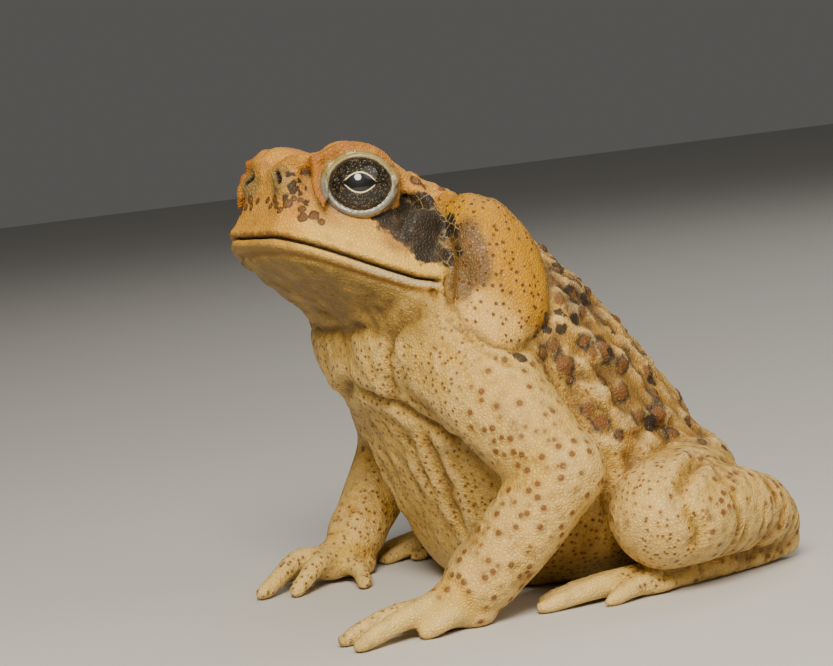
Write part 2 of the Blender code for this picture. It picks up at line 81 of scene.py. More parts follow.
# %% Toad frame, head frame and the way to metres
MM = 0.001
SIDES = ((1, "left"), (-1, "right"))
HEAD_PITCH = np.radians(26.6)
HEAD_YAW = np.radians(8.0)
HEAD_ORIGIN = np.array([0.0, -5.0, 63.4])
EYE_CENTRE = np.array([13.6, 20.0, 11.9])
EYE_RADIUS = 6.8

cos_yaw, sin_yaw = np.cos(HEAD_YAW), np.sin(HEAD_YAW)
cos_pitch, sin_pitch = np.cos(HEAD_PITCH), np.sin(HEAD_PITCH)
head_left = np.array([cos_yaw, sin_yaw, 0.0])
head_ahead = np.array([sin_yaw * cos_pitch, -cos_yaw * cos_pitch, sin_pitch])
HEAD_AXES = np.array([head_left, head_ahead, np.cross(head_ahead, head_left)])


def in_head(points):
    """Toad-frame points measured along the head's axes from the head's origin."""
    return (points - HEAD_ORIGIN) @ HEAD_AXES.T


def from_head(points):
    """Head-frame points back in the toad frame."""
    return HEAD_ORIGIN + np.asarray(points, dtype=float) @ HEAD_AXES


def mirrored(point, side):
    """A point or direction with its x turned over for the right side."""
    return np.array([point[0] * side, *point[1:]], dtype=float)


def folded_left(points):
    """Points with x made positive, so that both of a pair are met at the left one."""
    return np.column_stack([np.abs(points[:, 0]), points[:, 1:]])


eye_low, eye_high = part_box("eye_left")
ROW_SHIFT = np.array((eye_low + eye_high) / 2) / MM - from_head(EYE_CENTRE)
print("toad frame to row frame, mm", ROW_SHIFT.round(2))

# %% [markdown]
# ## Smooth tables and helper forms
#
# A torso or a head is known by a few measured sections. A Catmull-Rom cubic passes through every one of
# them and bends smoothly between, so a short table gives a fair surface. The same cubic smooths the chains
# of balls that stand for limbs, fingers and ridges.


# %% Rows of a table, and closed lofts
def rows(table, steps):
    """Between knots b, c, with a, d beyond: b + s/2 (c-a + s (2a-5b+4c-d + s (3b-a-3c+d)))."""
    knots = np.array(table, dtype=float)
    padded = np.vstack([2 * knots[0] - knots[1], knots, 2 * knots[-1] - knots[-2]])
    out = []
    for a, b, c, d in zip(padded, padded[1:], padded[2:], padded[3:]):
        for s in np.arange(steps) / steps:
            out.append(b + 0.5 * s * (c - a + s * (2 * a - 5 * b + 4 * c - d + s * (3 * b - a - 3 * c + d))))
    out.append(knots[-1])
    return np.array(out)


def superellipse(sides, power):
    """cos and sin of a full turn, each raised to 2/power with its sign, which squares the circle a little."""
    angle = np.linspace(0.0, 2 * np.pi, sides, endpoint=False)
    c, s = np.cos(angle), np.sin(angle)
    return np.sign(c) * np.abs(c) ** (2 / power), np.sign(s) * np.abs(s) ** (2 / power)


# Belly y and z, back y and z, half width.
TORSO = [
    (-8.0, 65.0, 1.0, 83.0, 16.0),
    (-14.0, 56.0, 8.5, 79.0, 23.0),
    (-15.5, 46.0, 19.0, 72.0, 27.0),
    (-9.5, 32.0, 30.0, 62.0, 30.5),
    (-3.5, 15.5, 41.0, 48.6, 33.0),
    (4.0, 1.5, 50.0, 36.4, 33.5),
    (18.5, -2.2, 56.6, 25.5, 30.5),
    (36.0, -0.5, 61.0, 17.0, 22.0),
    (51.0, 4.0, 62.5, 12.5, 11.0),
]
# y, half width at the mouth, top, height of the widest place, bottom.
HEAD_ROWS = [
    (-10.0, 20.0, 17.0, 2.0, -15.0),
    (-2.0, 23.0, 18.4, 1.0, -13.5),
    (6.0, 23.7, 18.2, 0.0, -11.2),
    (13.0, 22.2, 17.6, -0.8, -9.4),
    (20.0, 19.3, 16.8, -1.2, -7.8),
    (26.0, 15.6, 15.4, -1.4, -6.6),
    (29.6, 12.0, 13.6, -1.4, -5.0),
    (31.8, 8.4, 11.6, -1.2, -3.8),
]
TOP_NARROWING = 0.40


def torso_rings():
    """Rings mid + half * cos + width * sin, each between its belly point and its back point."""
    c, s = superellipse(72, 2.2)
    rings = []
    for belly_y, belly_z, back_y, back_z, width in rows(TORSO, 6):
        y = (belly_y + back_y) / 2 + (back_y - belly_y) / 2 * c
        z = (belly_z + back_z) / 2 + (back_z - belly_z) / 2 * c
        rings.append(np.column_stack([width * s, y, z]))
    return np.array(rings)


def head_rings():
    """Rings across the head, widest at the mouth and narrowed towards the top by x (1 - k above^1.3)."""
    c, s = superellipse(80, 2.7)
    above, below = np.maximum(c, 0.0), np.minimum(c, 0.0)
    rings = []
    for y, width, top, widest, bottom in rows(HEAD_ROWS, 6):
        x = width * s * (1 - TOP_NARROWING * above ** 1.3)
        z = widest + (top - widest) * above + (widest - bottom) * below
        rings.append(from_head(np.column_stack([x, np.full(len(x), y), z])))
    return np.array(rings)


print("torso rings", torso_rings().shape, "head rings", head_rings().shape)

# %% [markdown]
# ## The distance field
#
# A distance field is a box of voxels, each holding how far it is from the surface, negative inside. Two
# forms are joined by taking the smaller distance, and a *smooth* minimum rounds the seam by a chosen
# length: a shoulder melts into the chest over millimetres, two fingers over less than one. Mesh Booleans
# would leave sharp seams that have to be repaired, and a plain voxel remesh has no such control.

# %% A box of voxels and the smooth minimum
VOXEL = 1.0
FAR = 9.0
FIELD_CORNER = np.floor(np.array([-60.0, -43.0, -4.0]) / VOXEL).astype(int)
FIELD_SHAPE = tuple(np.ceil(np.array([120.0, 110.0, 100.0]) / VOXEL).astype(int))
axis_values = [VOXEL * (FIELD_CORNER[i] + np.arange(FIELD_SHAPE[i])) for i in range(3)]
GRID = np.stack(np.meshgrid(*axis_values, indexing="ij"), axis=-1).astype(np.float32)
field = np.full(FIELD_SHAPE, FAR, np.float32)
EVERYWHERE = (slice(None), slice(None), slice(None))


def smooth_min(a, b, reach):
    """min(a, b) - h^2 reach / 4, where h = max(reach - |a - b|, 0) / reach."""
    h = np.maximum(reach - np.abs(a - b), 0.0) / reach
    return np.minimum(a, b) - h * h * reach / 4


def around(low, high):
    """The slices of the field that hold the box from low to high."""
    first = np.floor(np.asarray(low) / VOXEL).astype(int) - FIELD_CORNER
    last = np.ceil(np.asarray(high) / VOXEL).astype(int) - FIELD_CORNER + 1
    return tuple(slice(max(a, 0), min(b, n)) for a, b, n in zip(first, last, FIELD_SHAPE))


def join(where, distance, reach):
    """Adds a form to the field with seams rounded over reach."""
    field[where] = smooth_min(field[where], distance, reach)


def closed_faces(count, sides):
    """Quads between rings numbered one after another, and fans to the first and last ring's middle points."""
    i, j = np.meshgrid(np.arange(count - 1), np.arange(sides), indexing="ij")
    k = (j + 1) % sides
    quads = np.stack([i * sides + j, i * sides + k, (i + 1) * sides + k, (i + 1) * sides + j], axis=-1)
    j, k = j[0], k[0]
    first, last = count * sides, (count - 1) * sides
    fans = np.vstack([
        np.column_stack([np.full(sides, first), k, j]),
        np.column_stack([np.full(sides, first + 1), last + j, last + k]),
    ])
    return quads.reshape(-1, 4), fans


def loft_distance(rings):
    """The distance to a closed loft, from OpenVDB's level set of its quads and end fans."""
    points = np.vstack([rings.reshape(-1, 3), rings[0].mean(axis=0), rings[-1].mean(axis=0)])
    quads, fans = closed_faces(*rings.shape[:2])
    level = openvdb.FloatGrid.createLevelSetFromPolygons(
        points.astype(np.float32), triangles=fans.astype(np.uint32), quads=quads.astype(np.uint32),
        transform=openvdb.createLinearTransform(VOXEL), halfWidth=FAR / VOXEL,
    )
    distance = np.zeros(FIELD_SHAPE, np.float32)
    level.copyToArray(distance, ijk=tuple(int(n) for n in FIELD_CORNER))
    return distance


join(EVERYWHERE, loft_distance(torso_rings()), 1.0)
join(EVERYWHERE, loft_distance(head_rings()), 5.0)
print("voxels inside torso and head", int((field < 0).sum()))

# %% [markdown]
# ## Balls and tubes
#
# Swellings are ellipsoids and limbs are chains of balls joined by straight runs whose radius changes
# evenly. Both have simple distance formulas, worked out only for the voxels near them.


# %% Distances to balls and tubes
def join_ball(centre, radii, axes=np.eye(3), reach=2.0):
    """With k0 = |p/r| and k1 = |p/r^2|, the distance to an ellipsoid is close to k0 (k0 - 1) / k1."""
    radii = np.asarray(radii, dtype=float)
    margin = radii.max() + reach + 2
    where = around(centre - margin, centre + margin)
    local = (GRID[where] - centre) @ np.asarray(axes).T
    k0 = np.linalg.norm(local / radii, axis=-1)
    k1 = np.linalg.norm(local / radii ** 2, axis=-1)
    join(where, k0 * (k0 - 1) / np.maximum(k1, 1e-6), reach)


def line_distance(points, line):
    """Least distance to a chain of x, y, z, radius, less its radius there, and how far along that is."""
    best = np.full(points.shape[:-1], 1e3)
    place = np.zeros(points.shape[:-1])
    travelled = 0.0
    for start, end in zip(line[:-1], line[1:]):
        run = end[:3] - start[:3]
        length = np.linalg.norm(run)
        t = np.clip((points - start[:3]) @ run / length ** 2, 0.0, 1.0)
        radius = start[3] + t * (end[3] - start[3])
        gap = np.linalg.norm(points - start[:3] - t[..., None] * run, axis=-1) - radius
        closer = gap < best
        best = np.where(closer, gap, best)
        place = np.where(closer, travelled + t * length, place)
        travelled += length
    return best, place


def smooth_line(chain, side=1, in_head_frame=False, steps=4):
    """A chain made smooth and put on one side of the toad."""
    line = rows(chain, steps)
    line[:, 0] *= side
    if in_head_frame:
        line[:, :3] = from_head(line[:, :3])
    return line


def join_tube(line, reach, joint=None, joint_reach=0.0, joint_size=10.0):
    """Adds a tube; near joint its seam is rounded by joint_reach more, falling off over joint_size."""
    margin = reach + joint_reach + 2
    low, high = (line[:, :3] - line[:, 3:]).min(axis=0), (line[:, :3] + line[:, 3:]).max(axis=0)
    where = around(low - margin, high + margin)
    distance, _ = line_distance(GRID[where], line)
    if joint is not None:
        from_joint = np.linalg.norm(GRID[where] - joint, axis=-1)
        reach = reach + joint_reach * np.exp(-(from_joint / joint_size) ** 2)
    join(where, distance, reach)


# %% [markdown]
# ## Forms of the body and head
#
# The breast has two swellings over the shoulder girdle, the hips swell behind, and behind each ear lies
# the parotoid gland, a long firm cushion that ends in a crease all round: hence its small rounding. On
# the head a bony crest runs from the nostril over the eye and down behind it, and a short ridge stands
# in front of the eye.

# %% Body and head forms
GLAND_CENTRE = np.array([23.0, 7.0, 63.0])
GLAND_RADII = np.array([16.5, 9.5, 7.5])
GLAND_LONG_AXIS = (0.25, 0.26, -0.93)
GLAND_OUTWARD = (0.95, 0.05, 0.30)
# Centre, radii and rounding: breast, shoulder and hip; then eye socket, brow, nostril mound and ear.
BODY_BALLS = [
    ((9.5, -9.5, 51.0), (9.0, 6.0, 8.5), 3.0),
    ((18.0, -2.0, 53.0), (11.0, 11.0, 11.0), 4.0),
    ((9.0, 47.0, 14.5), (11.0, 13.0, 10.5), 4.0),
]
HEAD_BALLS = [
    ((11.6, 19.2, 11.6), (8.2, 8.8, 7.0), 2.0),
    ((12.0, 20.4, 16.0), (6.8, 8.0, 4.0), 1.5),
    ((6.4, 30.8, 8.4), (2.8, 2.4, 2.8), 1.5),
    ((20.9, 8.6, 6.8), (1.6, 4.4, 4.8), 2.0),
]
# Chains hold x, y, z and a radius, which is 0 for a line drawn on the skin.
CREST = [
    (1.8, 32, 10.4, 1.5), (6, 31.4, 12.6, 1.6), (10, 29.8, 13.6, 1.6), (12.2, 27.6, 14.8, 1.5),
    (11.4, 23, 17.4, 1.5), (11.2, 16, 18.2, 1.6), (14, 10.5, 16.4, 1.7), (18, 6, 13, 1.7),
    (20.6, 4, 9.6, 1.6),
]
BROW = [
    (12.2, 30.0, 13.2, 0.0), (13.4, 28.2, 15.8, 0.0), (15.2, 25.6, 17.8, 0.0), (15.9, 22.6, 18.6, 0.0),
    (16.4, 19.4, 18.2, 0.0), (17.6, 16.8, 16.6, 0.0), (19.4, 15.6, 14.4, 0.0),
]
PREOCULAR_RIDGE = [
    (12.2, 29.8, 13.0, 1.4), (14.2, 29.4, 9.4, 1.2), (15.2, 28.6, 6.6, 0.9), (15.9, 27.6, 4.4, 0.5),
]


def axes_along(first_axis, outward):
    """Rows of a turn whose first axis is given and whose third points outward."""
    first = np.asarray(first_axis, dtype=float)
    first /= np.linalg.norm(first)
    third = np.asarray(outward, dtype=float)
    third -= first * (third @ first)
    third /= np.linalg.norm(third)
    return np.array([first, np.cross(third, first), third])


def gland_axes(side):
    """The gland's long, cross and outward axes."""
    return axes_along(mirrored(GLAND_LONG_AXIS, side), mirrored(GLAND_OUTWARD, side))


for side, word in SIDES:
    for centre, radii, reach in BODY_BALLS:
        join_ball(mirrored(centre, side), radii, reach=reach)
    for centre, radii, reach in HEAD_BALLS:
        join_ball(from_head(mirrored(centre, side)), radii, HEAD_AXES, reach)
    join_tube(smooth_line(CREST, side, True), reach=1.6)
    join_tube(smooth_line(PREOCULAR_RIDGE, side, True), reach=1.0)
    join_ball(mirrored(GLAND_CENTRE, side), GLAND_RADII, gland_axes(side), reach=1.6)
print("voxels inside with glands and crests", int((field < 0).sum()))

# %% [markdown]
# ## Limbs
#
# The near arm is bent with the hand turned in; the far one stands a little straighter. Each hind leg is
# folded flat: thigh forward, shank back, and the long foot forward again under both. The seams are soft
# only at shoulder and hip, and tight at elbow, knee and ankle, where the photograph shows creases.

# %% Chains of the limbs, digits and pads
UPPER_ARM = [(20, 0, 51, 11.5), (28, 0.5, 43, 10.6), (36, 2.8, 34.5, 9.4), (42, 6.6, 26.5, 8.2)]
FOREARM = [(42, 6.6, 26.5, 8.2), (41.5, 1.4, 20.5, 7.8), (40, -4.5, 14, 7.3), (38, -9.8, 8.8, 6.6)]
PALM = [(38, -9.8, 8.8, 6.6), (37.5, -13.5, 6, 5.3), (37.2, -17.5, 4.6, 4.2), (37.6, -21, 4.2, 3.4)]
UPPER_ARM_FAR = [(20, 2, 51, 11), (28, 5, 43, 10.2), (36, 9, 34, 9), (41, 12, 26, 8.2)]
FOREARM_FAR = [(41, 12, 26, 8.2), (40, 8, 20.5, 7.4), (37, 2, 14, 6.6), (33.5, -3.5, 8.8, 5.8)]
PALM_FAR = [(33.5, -3.5, 8.8, 5.8), (31, -7, 6.4, 5), (29, -11, 5, 4.2), (28, -14.5, 4.6, 3.4)]
THIGH = [(16, 48, 15, 11), (29, 42, 15, 10.6), (40, 33, 15.4, 10.8), (46, 25.8, 15.4, 10.6)]
SHANK = [
    (47, 30, 14.2, 9.2), (45, 38, 13.8, 8.8), (42.5, 46.5, 12.4, 7.8), (40, 52.5, 9.8, 5.8),
    (38, 56, 7.4, 4.2),
]
FOOT = [
    (37, 57, 4.2, 3.6), (39, 49, 2.8, 2.9), (41, 38, 2.6, 2.8), (41.5, 29, 2.8, 3.2), (40.5, 23, 2.8, 2.8),
]
FOOT_PADS = [(38, 25.5, 1.7), (40.5, 22.5, 1.7), (43, 24, 1.7)]
FINGERS = [
    [(34.5, -15, 4, 2.4), (29, -19, 3.4, 2.1), (24.5, -22.5, 2, 1.8), (23, -24.5, 1.1, 1.5)],
    [(36, -20, 4, 2.5), (33.5, -26, 4, 2.1), (33, -33, 2.4, 1.8), (33.4, -37, 1.1, 1.5)],
    [(38, -20.5, 4.2, 2.7), (38.8, -26, 4.4, 2.3), (40, -33, 2.6, 1.8), (40.6, -37, 1.2, 1.6)],
    [(39.4, -16.5, 3.6, 2.4), (41.2, -19.4, 3.2, 2.1), (41.6, -22.2, 2.2, 1.8), (41, -24, 1.2, 1.6)],
]
FINGERS_FAR = [
    [(26, -9.5, 4, 2.3), (21, -9.5, 3.2, 2), (16.5, -10.5, 1.8, 1.7), (14.5, -11.5, 1.1, 1.5)],
    [(26.5, -13.5, 4.8, 2.5), (23.5, -17.5, 5.2, 2.2), (21, -22, 2.8, 1.8), (20, -24.5, 1.1, 1.5)],
    [(28.5, -15, 5, 2.6), (28.8, -19.5, 6, 2.3), (26, -26, 3.2, 1.9), (24.3, -30, 1.2, 1.6)],
    [(31.5, -12.5, 4, 2.4), (34, -16.5, 3.6, 2.1), (35.5, -20.5, 1.9, 1.8), (36, -23, 1.1, 1.5)],
]
TOES = [
    [(36, 27, 2.6, 2), (33, 23.5, 2.2, 1.8), (30.5, 19.5, 1.6, 1.5), (29.5, 17.5, 0.9, 1.3)],
    [(37.5, 23.5, 2.8, 2.1), (35.2, 18, 2.6, 1.9), (33.4, 12, 1.8, 1.6), (32.8, 9.2, 0.9, 1.3)],
    [(39, 22, 3, 2.3), (37.8, 14.5, 3, 2), (36.4, 7, 2, 1.7), (35.8, 3.2, 1.0, 1.4)],
    [(40.5, 20.0, 3.0, 2.5), (41.2, 12.5, 3.0, 2.2), (41.0, 4.5, 1.9, 1.7), (40.6, 0.4, 1.0, 1.4)],
    [(42.5, 25, 3, 2.3), (44.6, 19.5, 2.6, 2), (45.8, 14.5, 1.7, 1.6), (46.2, 12, 0.9, 1.3)],
]
ARMS = {
    "left": (UPPER_ARM, FOREARM, PALM, FINGERS),
    "right": (UPPER_ARM_FAR, FOREARM_FAR, PALM_FAR, FINGERS_FAR),
}

# %% Join the limbs to the field
for side, word in SIDES:
    upper_arm, forearm, palm, fingers = ARMS[word]
    shoulder = mirrored(upper_arm[0][:3], side)
    join_tube(smooth_line(upper_arm, side), 1.2, shoulder, joint_reach=6.0, joint_size=16.0)
    join_tube(smooth_line(forearm, side), 1.6)
    join_tube(smooth_line(palm, side), 2.0)
    knuckle, heel = palm[-1], palm[1]
    join_ball(mirrored((knuckle[0], knuckle[1] + 2.0, knuckle[2] - 1.0), side), (4.6, 4.4, 2.6), reach=1.5)
    join_ball(mirrored((heel[0], heel[1] + 1.0, 2.6), side), (5.0, 4.6, 3.4), reach=0.8)
    hip = mirrored(THIGH[0][:3], side)
    join_tube(smooth_line(THIGH, side), 1.2, hip, joint_reach=5.0, joint_size=16.0)
    join_tube(smooth_line(SHANK, side), 0.9)
    join_tube(smooth_line(FOOT, side), 0.7)
    for pad in FOOT_PADS:
        join_ball(mirrored(pad, side), (3.6, 5.2, 1.6), reach=1.0)
    for chain in fingers:
        join_tube(smooth_line(chain, side), 0.9)
    for chain in TOES:
        join_tube(smooth_line(chain, side), 1.2)
field = np.maximum(field, -GRID[..., 2])
print("voxels inside with limbs", int((field < 0).sum()))

# %% [markdown]
# ## From field to mesh
#
# OpenVDB draws quads where the field crosses zero. Taubin smoothing, a step of averaging followed by a
# slightly larger step back, then takes away the voxel steps without shrinking fingers. The head carries
# the finest forms, so its faces are divided once, and those round the eyes, nostrils and mouth twice.


# %% Points, neighbours and smoothing
INWARD, BACK_OUT = 0.5, -0.52


def get_points(mesh, kind="co"):
    """The mesh's points as rows of x, y, z."""
    flat = np.empty(len(mesh.vertices) * 3, np.float32)
    mesh.vertices.foreach_get(kind, flat)
    return flat.reshape(-1, 3).astype(float)


def get_normals(mesh):
    """The mesh's normals, one row to a point."""
    return get_points(mesh, "normal")


def set_points(mesh, points):
    """Puts the rows of x, y, z back into the mesh."""
    mesh.vertices.foreach_set("co", points.astype(np.float32).ravel())
    mesh.update()


def edge_ends(mesh):
    """The two points of every edge, by number."""
    ends = np.empty(len(mesh.edges) * 2, np.int32)
    mesh.edges.foreach_get("vertices", ends)
    return ends[::2], ends[1::2]


def neighbour_mean(points, ends):
    """For every point, the average of the points that share an edge with it."""
    a, b = ends
    count = np.bincount(np.concatenate(ends), minlength=len(points))
    columns = [np.bincount(a, axis[b], len(axis)) + np.bincount(b, axis[a], len(axis)) for axis in points.T]
    return np.column_stack(columns) / count[:, None]


def smoothed(mesh, points, rounds, where=1.0):
    """Taubin: points + INWARD (mean of neighbours - points), then the same with BACK_OUT, by turns."""
    ends = edge_ends(mesh)
    for share in rounds * (INWARD, BACK_OUT):
        points = points + share * (neighbour_mean(points, ends) - points) * where
    return points


# %% Local division, and the first skin
def divided(mesh, wanted):
    """Divides the faces whose middle is wanted into four, and their neighbours to match."""
    work = bmesh.new()
    work.from_mesh(mesh)
    middles = np.array([face.calc_center_median() for face in work.faces])
    chosen = wanted(middles)
    edges = {edge for face, yes in zip(work.faces, chosen) if yes for edge in face.edges}
    bmesh.ops.subdivide_edges(work, edges=list(edges), cuts=1, use_grid_fill=True)
    odd = [face for face in work.faces if len(face.verts) > 4]
    bmesh.ops.triangulate(work, faces=odd)
    work.to_mesh(mesh)
    work.free()


level = openvdb.FloatGrid()
level.copyFromArray(field, ijk=tuple(int(n) for n in FIELD_CORNER))
level.transform = openvdb.createLinearTransform(VOXEL)
points, quads = level.convertToQuads(0.0)
skin_mesh = bpy.data.meshes.new("skin")
skin_mesh.from_pydata(points.tolist(), [], quads.tolist())
set_points(skin_mesh, smoothed(skin_mesh, get_points(skin_mesh), 6))
print("quads", len(skin_mesh.polygons))

# %% Finer faces on the head
MOUTH_LINE = [(2.0, -1.4), (4.0, -1.8), (8.0, -2.6), (13.0, -2.8), (18.0, -2.8), (24.0, -2.6), (34.0, -2.4)]
NOSTRIL = np.array([4.9, 32.6, 9.2])


def mouth_height(local):
    """Height above the mouth line at the same y in the head frame."""
    line = np.array(MOUTH_LINE)
    return local[:, 2] - np.interp(local[:, 1], line[:, 0], line[:, 1])


def on_head(points):
    """True for the head and a little beyond."""
    local = in_head(points)
    return (local[:, 1] > 0.5) & (local[:, 2] > -5.5) & (np.abs(local[:, 0]) < 26)


def on_fine_parts(points):
    """True round the eyes, the nostrils and along the mouth."""
    local = in_head(points)
    folded = folded_left(local)
    near_eye = np.linalg.norm(folded - EYE_CENTRE, axis=1) < 9.8
    near_eye &= (folded - EYE_CENTRE) @ np.array([0.85, 0.5, -0.1]) > 0.5
    near_nostril = np.linalg.norm(folded - NOSTRIL, axis=1) < 3.0
    along_mouth = (np.abs(mouth_height(local)) < 1.8) & (local[:, 1] > 2.0) & on_head(points)
    return near_eye | near_nostril | along_mouth


divided(skin_mesh, on_head)
divided(skin_mesh, on_fine_parts)
points = get_points(skin_mesh)
set_points(skin_mesh, smoothed(skin_mesh, points, 4, on_head(points)[:, None]))
print("faces", len(skin_mesh.polygons), "points", len(skin_mesh.vertices))

# %% [markdown]
# ## Tools for shaping the skin
#
# From here on the skin keeps its faces and only its points move: along the way out from the surface, or
# in the head's own frame. A step eases from 0 to 1 without a corner, and smooth noise keeps folds and
# spots from looking ruled. A line that has to run exactly on the skin is first snapped onto it.


# %% Steps, bells, noise and distances
def step(low, high, value):
    """0 below low, 1 above high, and 3t^2 - 2t^3 between."""
    t = np.clip((value - low) / (high - low), 0.0, 1.0)
    return t * t * (3 - 2 * t)


def bell(value, width):
    """exp(-(value / width)^2): 1 at zero, falling away on both sides."""
    return np.exp(-(value / width) ** 2)


def noise(points, size, seed):
    """Smooth noise from -1 to 1: random values at the corners of cells of the given size, eased between."""
    corners = np.random.default_rng(seed).uniform(-1.0, 1.0, (32, 32, 32))
    cell = np.floor(points / size).astype(int)
    t = points / size - cell
    t = t * t * (3 - 2 * t)
    total = np.zeros(len(points))
    for corner in np.ndindex(2, 2, 2):
        weight = np.prod(np.where(corner, t, 1 - t), axis=1)
        total += weight * corners[tuple((cell + corner).T % 32)]
    return total


def thin_line(chain, side=1):
    """A chain of bare points as a line of no thickness on one side of the toad."""
    return smooth_line([(*point, 0.0) for point in chain], side)


def polygon_distance(y, z, corners):
    """Distance to the border of a flat outline, negative inside it."""
    corners = np.array(corners, dtype=float)
    spot = np.column_stack([y, z])
    best = np.full(len(y), 1e3)
    inside = np.zeros(len(y), bool)
    for a, b in zip(corners, np.roll(corners, -1, axis=0)):
        run = b - a
        t = np.clip((spot - a) @ run / (run @ run), 0.0, 1.0)
        best = np.minimum(best, np.linalg.norm(spot - a - t[:, None] * run, axis=1))
        crosses = (a[1] > z) != (b[1] > z)
        with np.errstate(divide="ignore", invalid="ignore"):
            inside ^= crosses & (y < a[0] + (z - a[1]) * run[0] / run[1])
    return np.where(inside, -best, best)


def snapped(places, points):
    """Moves x, y, z, radius places onto the nearest point of the surface."""
    nearest = [points[np.argmin(np.linalg.norm(points - place[:3], axis=1))] for place in places]
    return np.array([[*point, *place[3:]] for point, place in zip(nearest, places)])


def chain_distance(points, head_chain, on_surface=False, steps=4):
    """Distance to the nearer of a left chain of the head and its mirror image, snapped if on_surface."""
    lines = [smooth_line(head_chain, side, True, steps) for side, word in SIDES]
    if on_surface:
        lines = [snapped(line, points) for line in lines]
    return np.min([line_distance(points, line)[0] for line in lines], axis=0)


def drawn_noise(points, size, way, stretch, seed):
    """Noise drawn out along one way; stretch 0 leaves it round, 0.67 makes it three times as long as wide."""
    way = np.array(way) / np.linalg.norm(way)
    return noise(points - stretch * (points @ way)[:, None] * way, size, seed)


# %% [markdown]
# ## Lids
#
# A toad's eyeball sits in a round opening with a narrow, moist lid all round. Seen from the eye's centre
# the skin is a distance that depends on how far out from the line of sight it lies: under the eyeball
# inside the opening, just above it at the lid, and back to the brow beyond. The skin therefore cuts the
# eyeball along a clean line, whatever the size of its faces.

# %% Shape the lids
GAZE = np.array([0.85, 0.505, -0.11])
GAZE /= np.linalg.norm(GAZE)
LID_ACROSS = np.array([0.549, -0.791, 0.27])
LID_ACROSS -= GAZE * (GAZE @ LID_ACROSS)
LID_ACROSS /= np.linalg.norm(LID_ACROSS)
LID_UP = np.cross(LID_ACROSS, GAZE)
LID_UP *= np.sign(LID_UP[2])
LID_HALF = (5.75, 4.85)
UNDER_EYE = EYE_RADIUS - 0.7
LID_TOP = EYE_RADIUS + 0.85


def lid_place(local):
    """Seen from the eye: the way to each point, how far across the opening (1 at its edge), up, out."""
    way = folded_left(local) - EYE_CENTRE
    across, up, out = way @ LID_ACROSS, way @ LID_UP, way @ GAZE
    return way, np.hypot(across / LID_HALF[0], up / LID_HALF[1]), up, out


def shape_lids(points):
    """Moves points near each eye to the lid's distance from the eye's centre."""
    local = in_head(points)
    way, opening, up, out = lid_place(local)
    radius = np.linalg.norm(way, axis=1)
    target = UNDER_EYE + (LID_TOP - UNDER_EYE) * step(0.92, 1.08, opening)
    outer = 1.30 - 0.10 * step(0.0, 4.0, up)
    in_front = step(0.0, 1.5, out) * (radius < 11)
    hold = (1 - step(outer - 0.12, outer + 0.2, opening)) * in_front
    radius_now = radius + (target - radius) * hold
    radius_now -= 0.5 * bell(opening - outer - 0.08, 0.06) * (hold < 1) * in_front
    moved = way * (radius_now / radius)[:, None] + EYE_CENTRE
    moved[:, 0] *= np.where(local[:, 0] < 0, -1.0, 1.0)
    return from_head(moved)


set_points(skin_mesh, shape_lids(get_points(skin_mesh)))
print("lids shaped round an opening of", LID_HALF, "mm")

# %% [markdown]
# ## Mouth, nostrils, ears and brow
#
# The mouth runs back under the eye as a dark slit. Over it the upper lip rolls out and hangs a little
# over the lower lip, which shows as a pale band with a second, shallower crease below. The nostrils are
# short slits on low mounds. The eardrum is a small disc behind the eye, barely sunk, and the bony crest
# over the eye is sharpened where the field left it round.

# %% Shape mouth, nostrils, ears and brow
NOSTRIL_SLIT = [(4.5, 32.6, 9.9, 0.0), (5.4, 32.1, 9.2, 0.0), (6.4, 31.5, 8.4, 0.0)]
EAR_CENTRE = np.array([21.2, 8.6, 6.8])
EAR_RADIUS = 3.4
# Profiles: how far away the middle of a ridge or groove lies, how far it rises or sinks, and its width.
MOUTH_PROFILE = [(1.3, 0.5, 0.9), (-1.3, 0.3, 0.7), (0.0, -1.3, 0.32), (-2.5, -0.5, 0.45)]
NOSTRIL_PROFILE = [(1.2, 0.35, 0.5), (0.0, -1.3, 0.5)]
BROW_PROFILE = [(0.0, 0.55, 0.75), (1.6, -0.4, 0.7)]
EAR_RIM = [(EAR_RADIUS, -0.3, 0.5)]
EAR_SINK = 0.15


def relief(gap, profile):
    """The sum of rise bell(gap - middle, width) over a profile."""
    return sum(rise * bell(gap - middle, width) for middle, rise, width in profile)


def shape_mouth(points, normals):
    """Groove, upper lip, pale lower lip and the crease below it, all by height above the mouth line."""
    local = in_head(points)
    along = step(2.6, 5.0, local[:, 1]) * on_head(points)
    return points + normals * (relief(mouth_height(local), MOUTH_PROFILE) * along)[:, None]


def shape_nostrils(points, normals):
    """A slit sunk into the snout with a low rim round it."""
    return points + normals * relief(nostril_gap, NOSTRIL_PROFILE)[:, None]


def shape_ears(points, normals):
    """A ring-shaped groove round each eardrum, which itself is barely sunk."""
    local = in_head(points)
    gap = np.hypot(local[:, 1] - EAR_CENTRE[1], (local[:, 2] - EAR_CENTRE[2]) / 1.15)
    rise = relief(gap, EAR_RIM) - EAR_SINK * (1 - step(EAR_RADIUS - 0.8, EAR_RADIUS, gap))
    on_side = (np.abs(local[:, 0]) > 15) & on_head(points)
    return points + normals * (rise * on_side)[:, None]


def shape_crests(points, normals):
    """Sharpens the bony crest over the eye."""
    return points + normals * relief(chain_distance(points, BROW, on_surface=True), BROW_PROFILE)[:, None]


def reshape(*shapes):
    """Gives the skin one shape after another, each worked out from its present points and normals."""
    for shape in shapes:
        set_points(skin_mesh, shape(get_points(skin_mesh), get_normals(skin_mesh)))


# The slit is measured before it sinks, and kept for the material.
nostril_gap = chain_distance(get_points(skin_mesh), NOSTRIL_SLIT, on_surface=True, steps=1)
reshape(shape_mouth, shape_nostrils, shape_ears, shape_crests)
print("mouth, nostrils, ears and brow shaped")

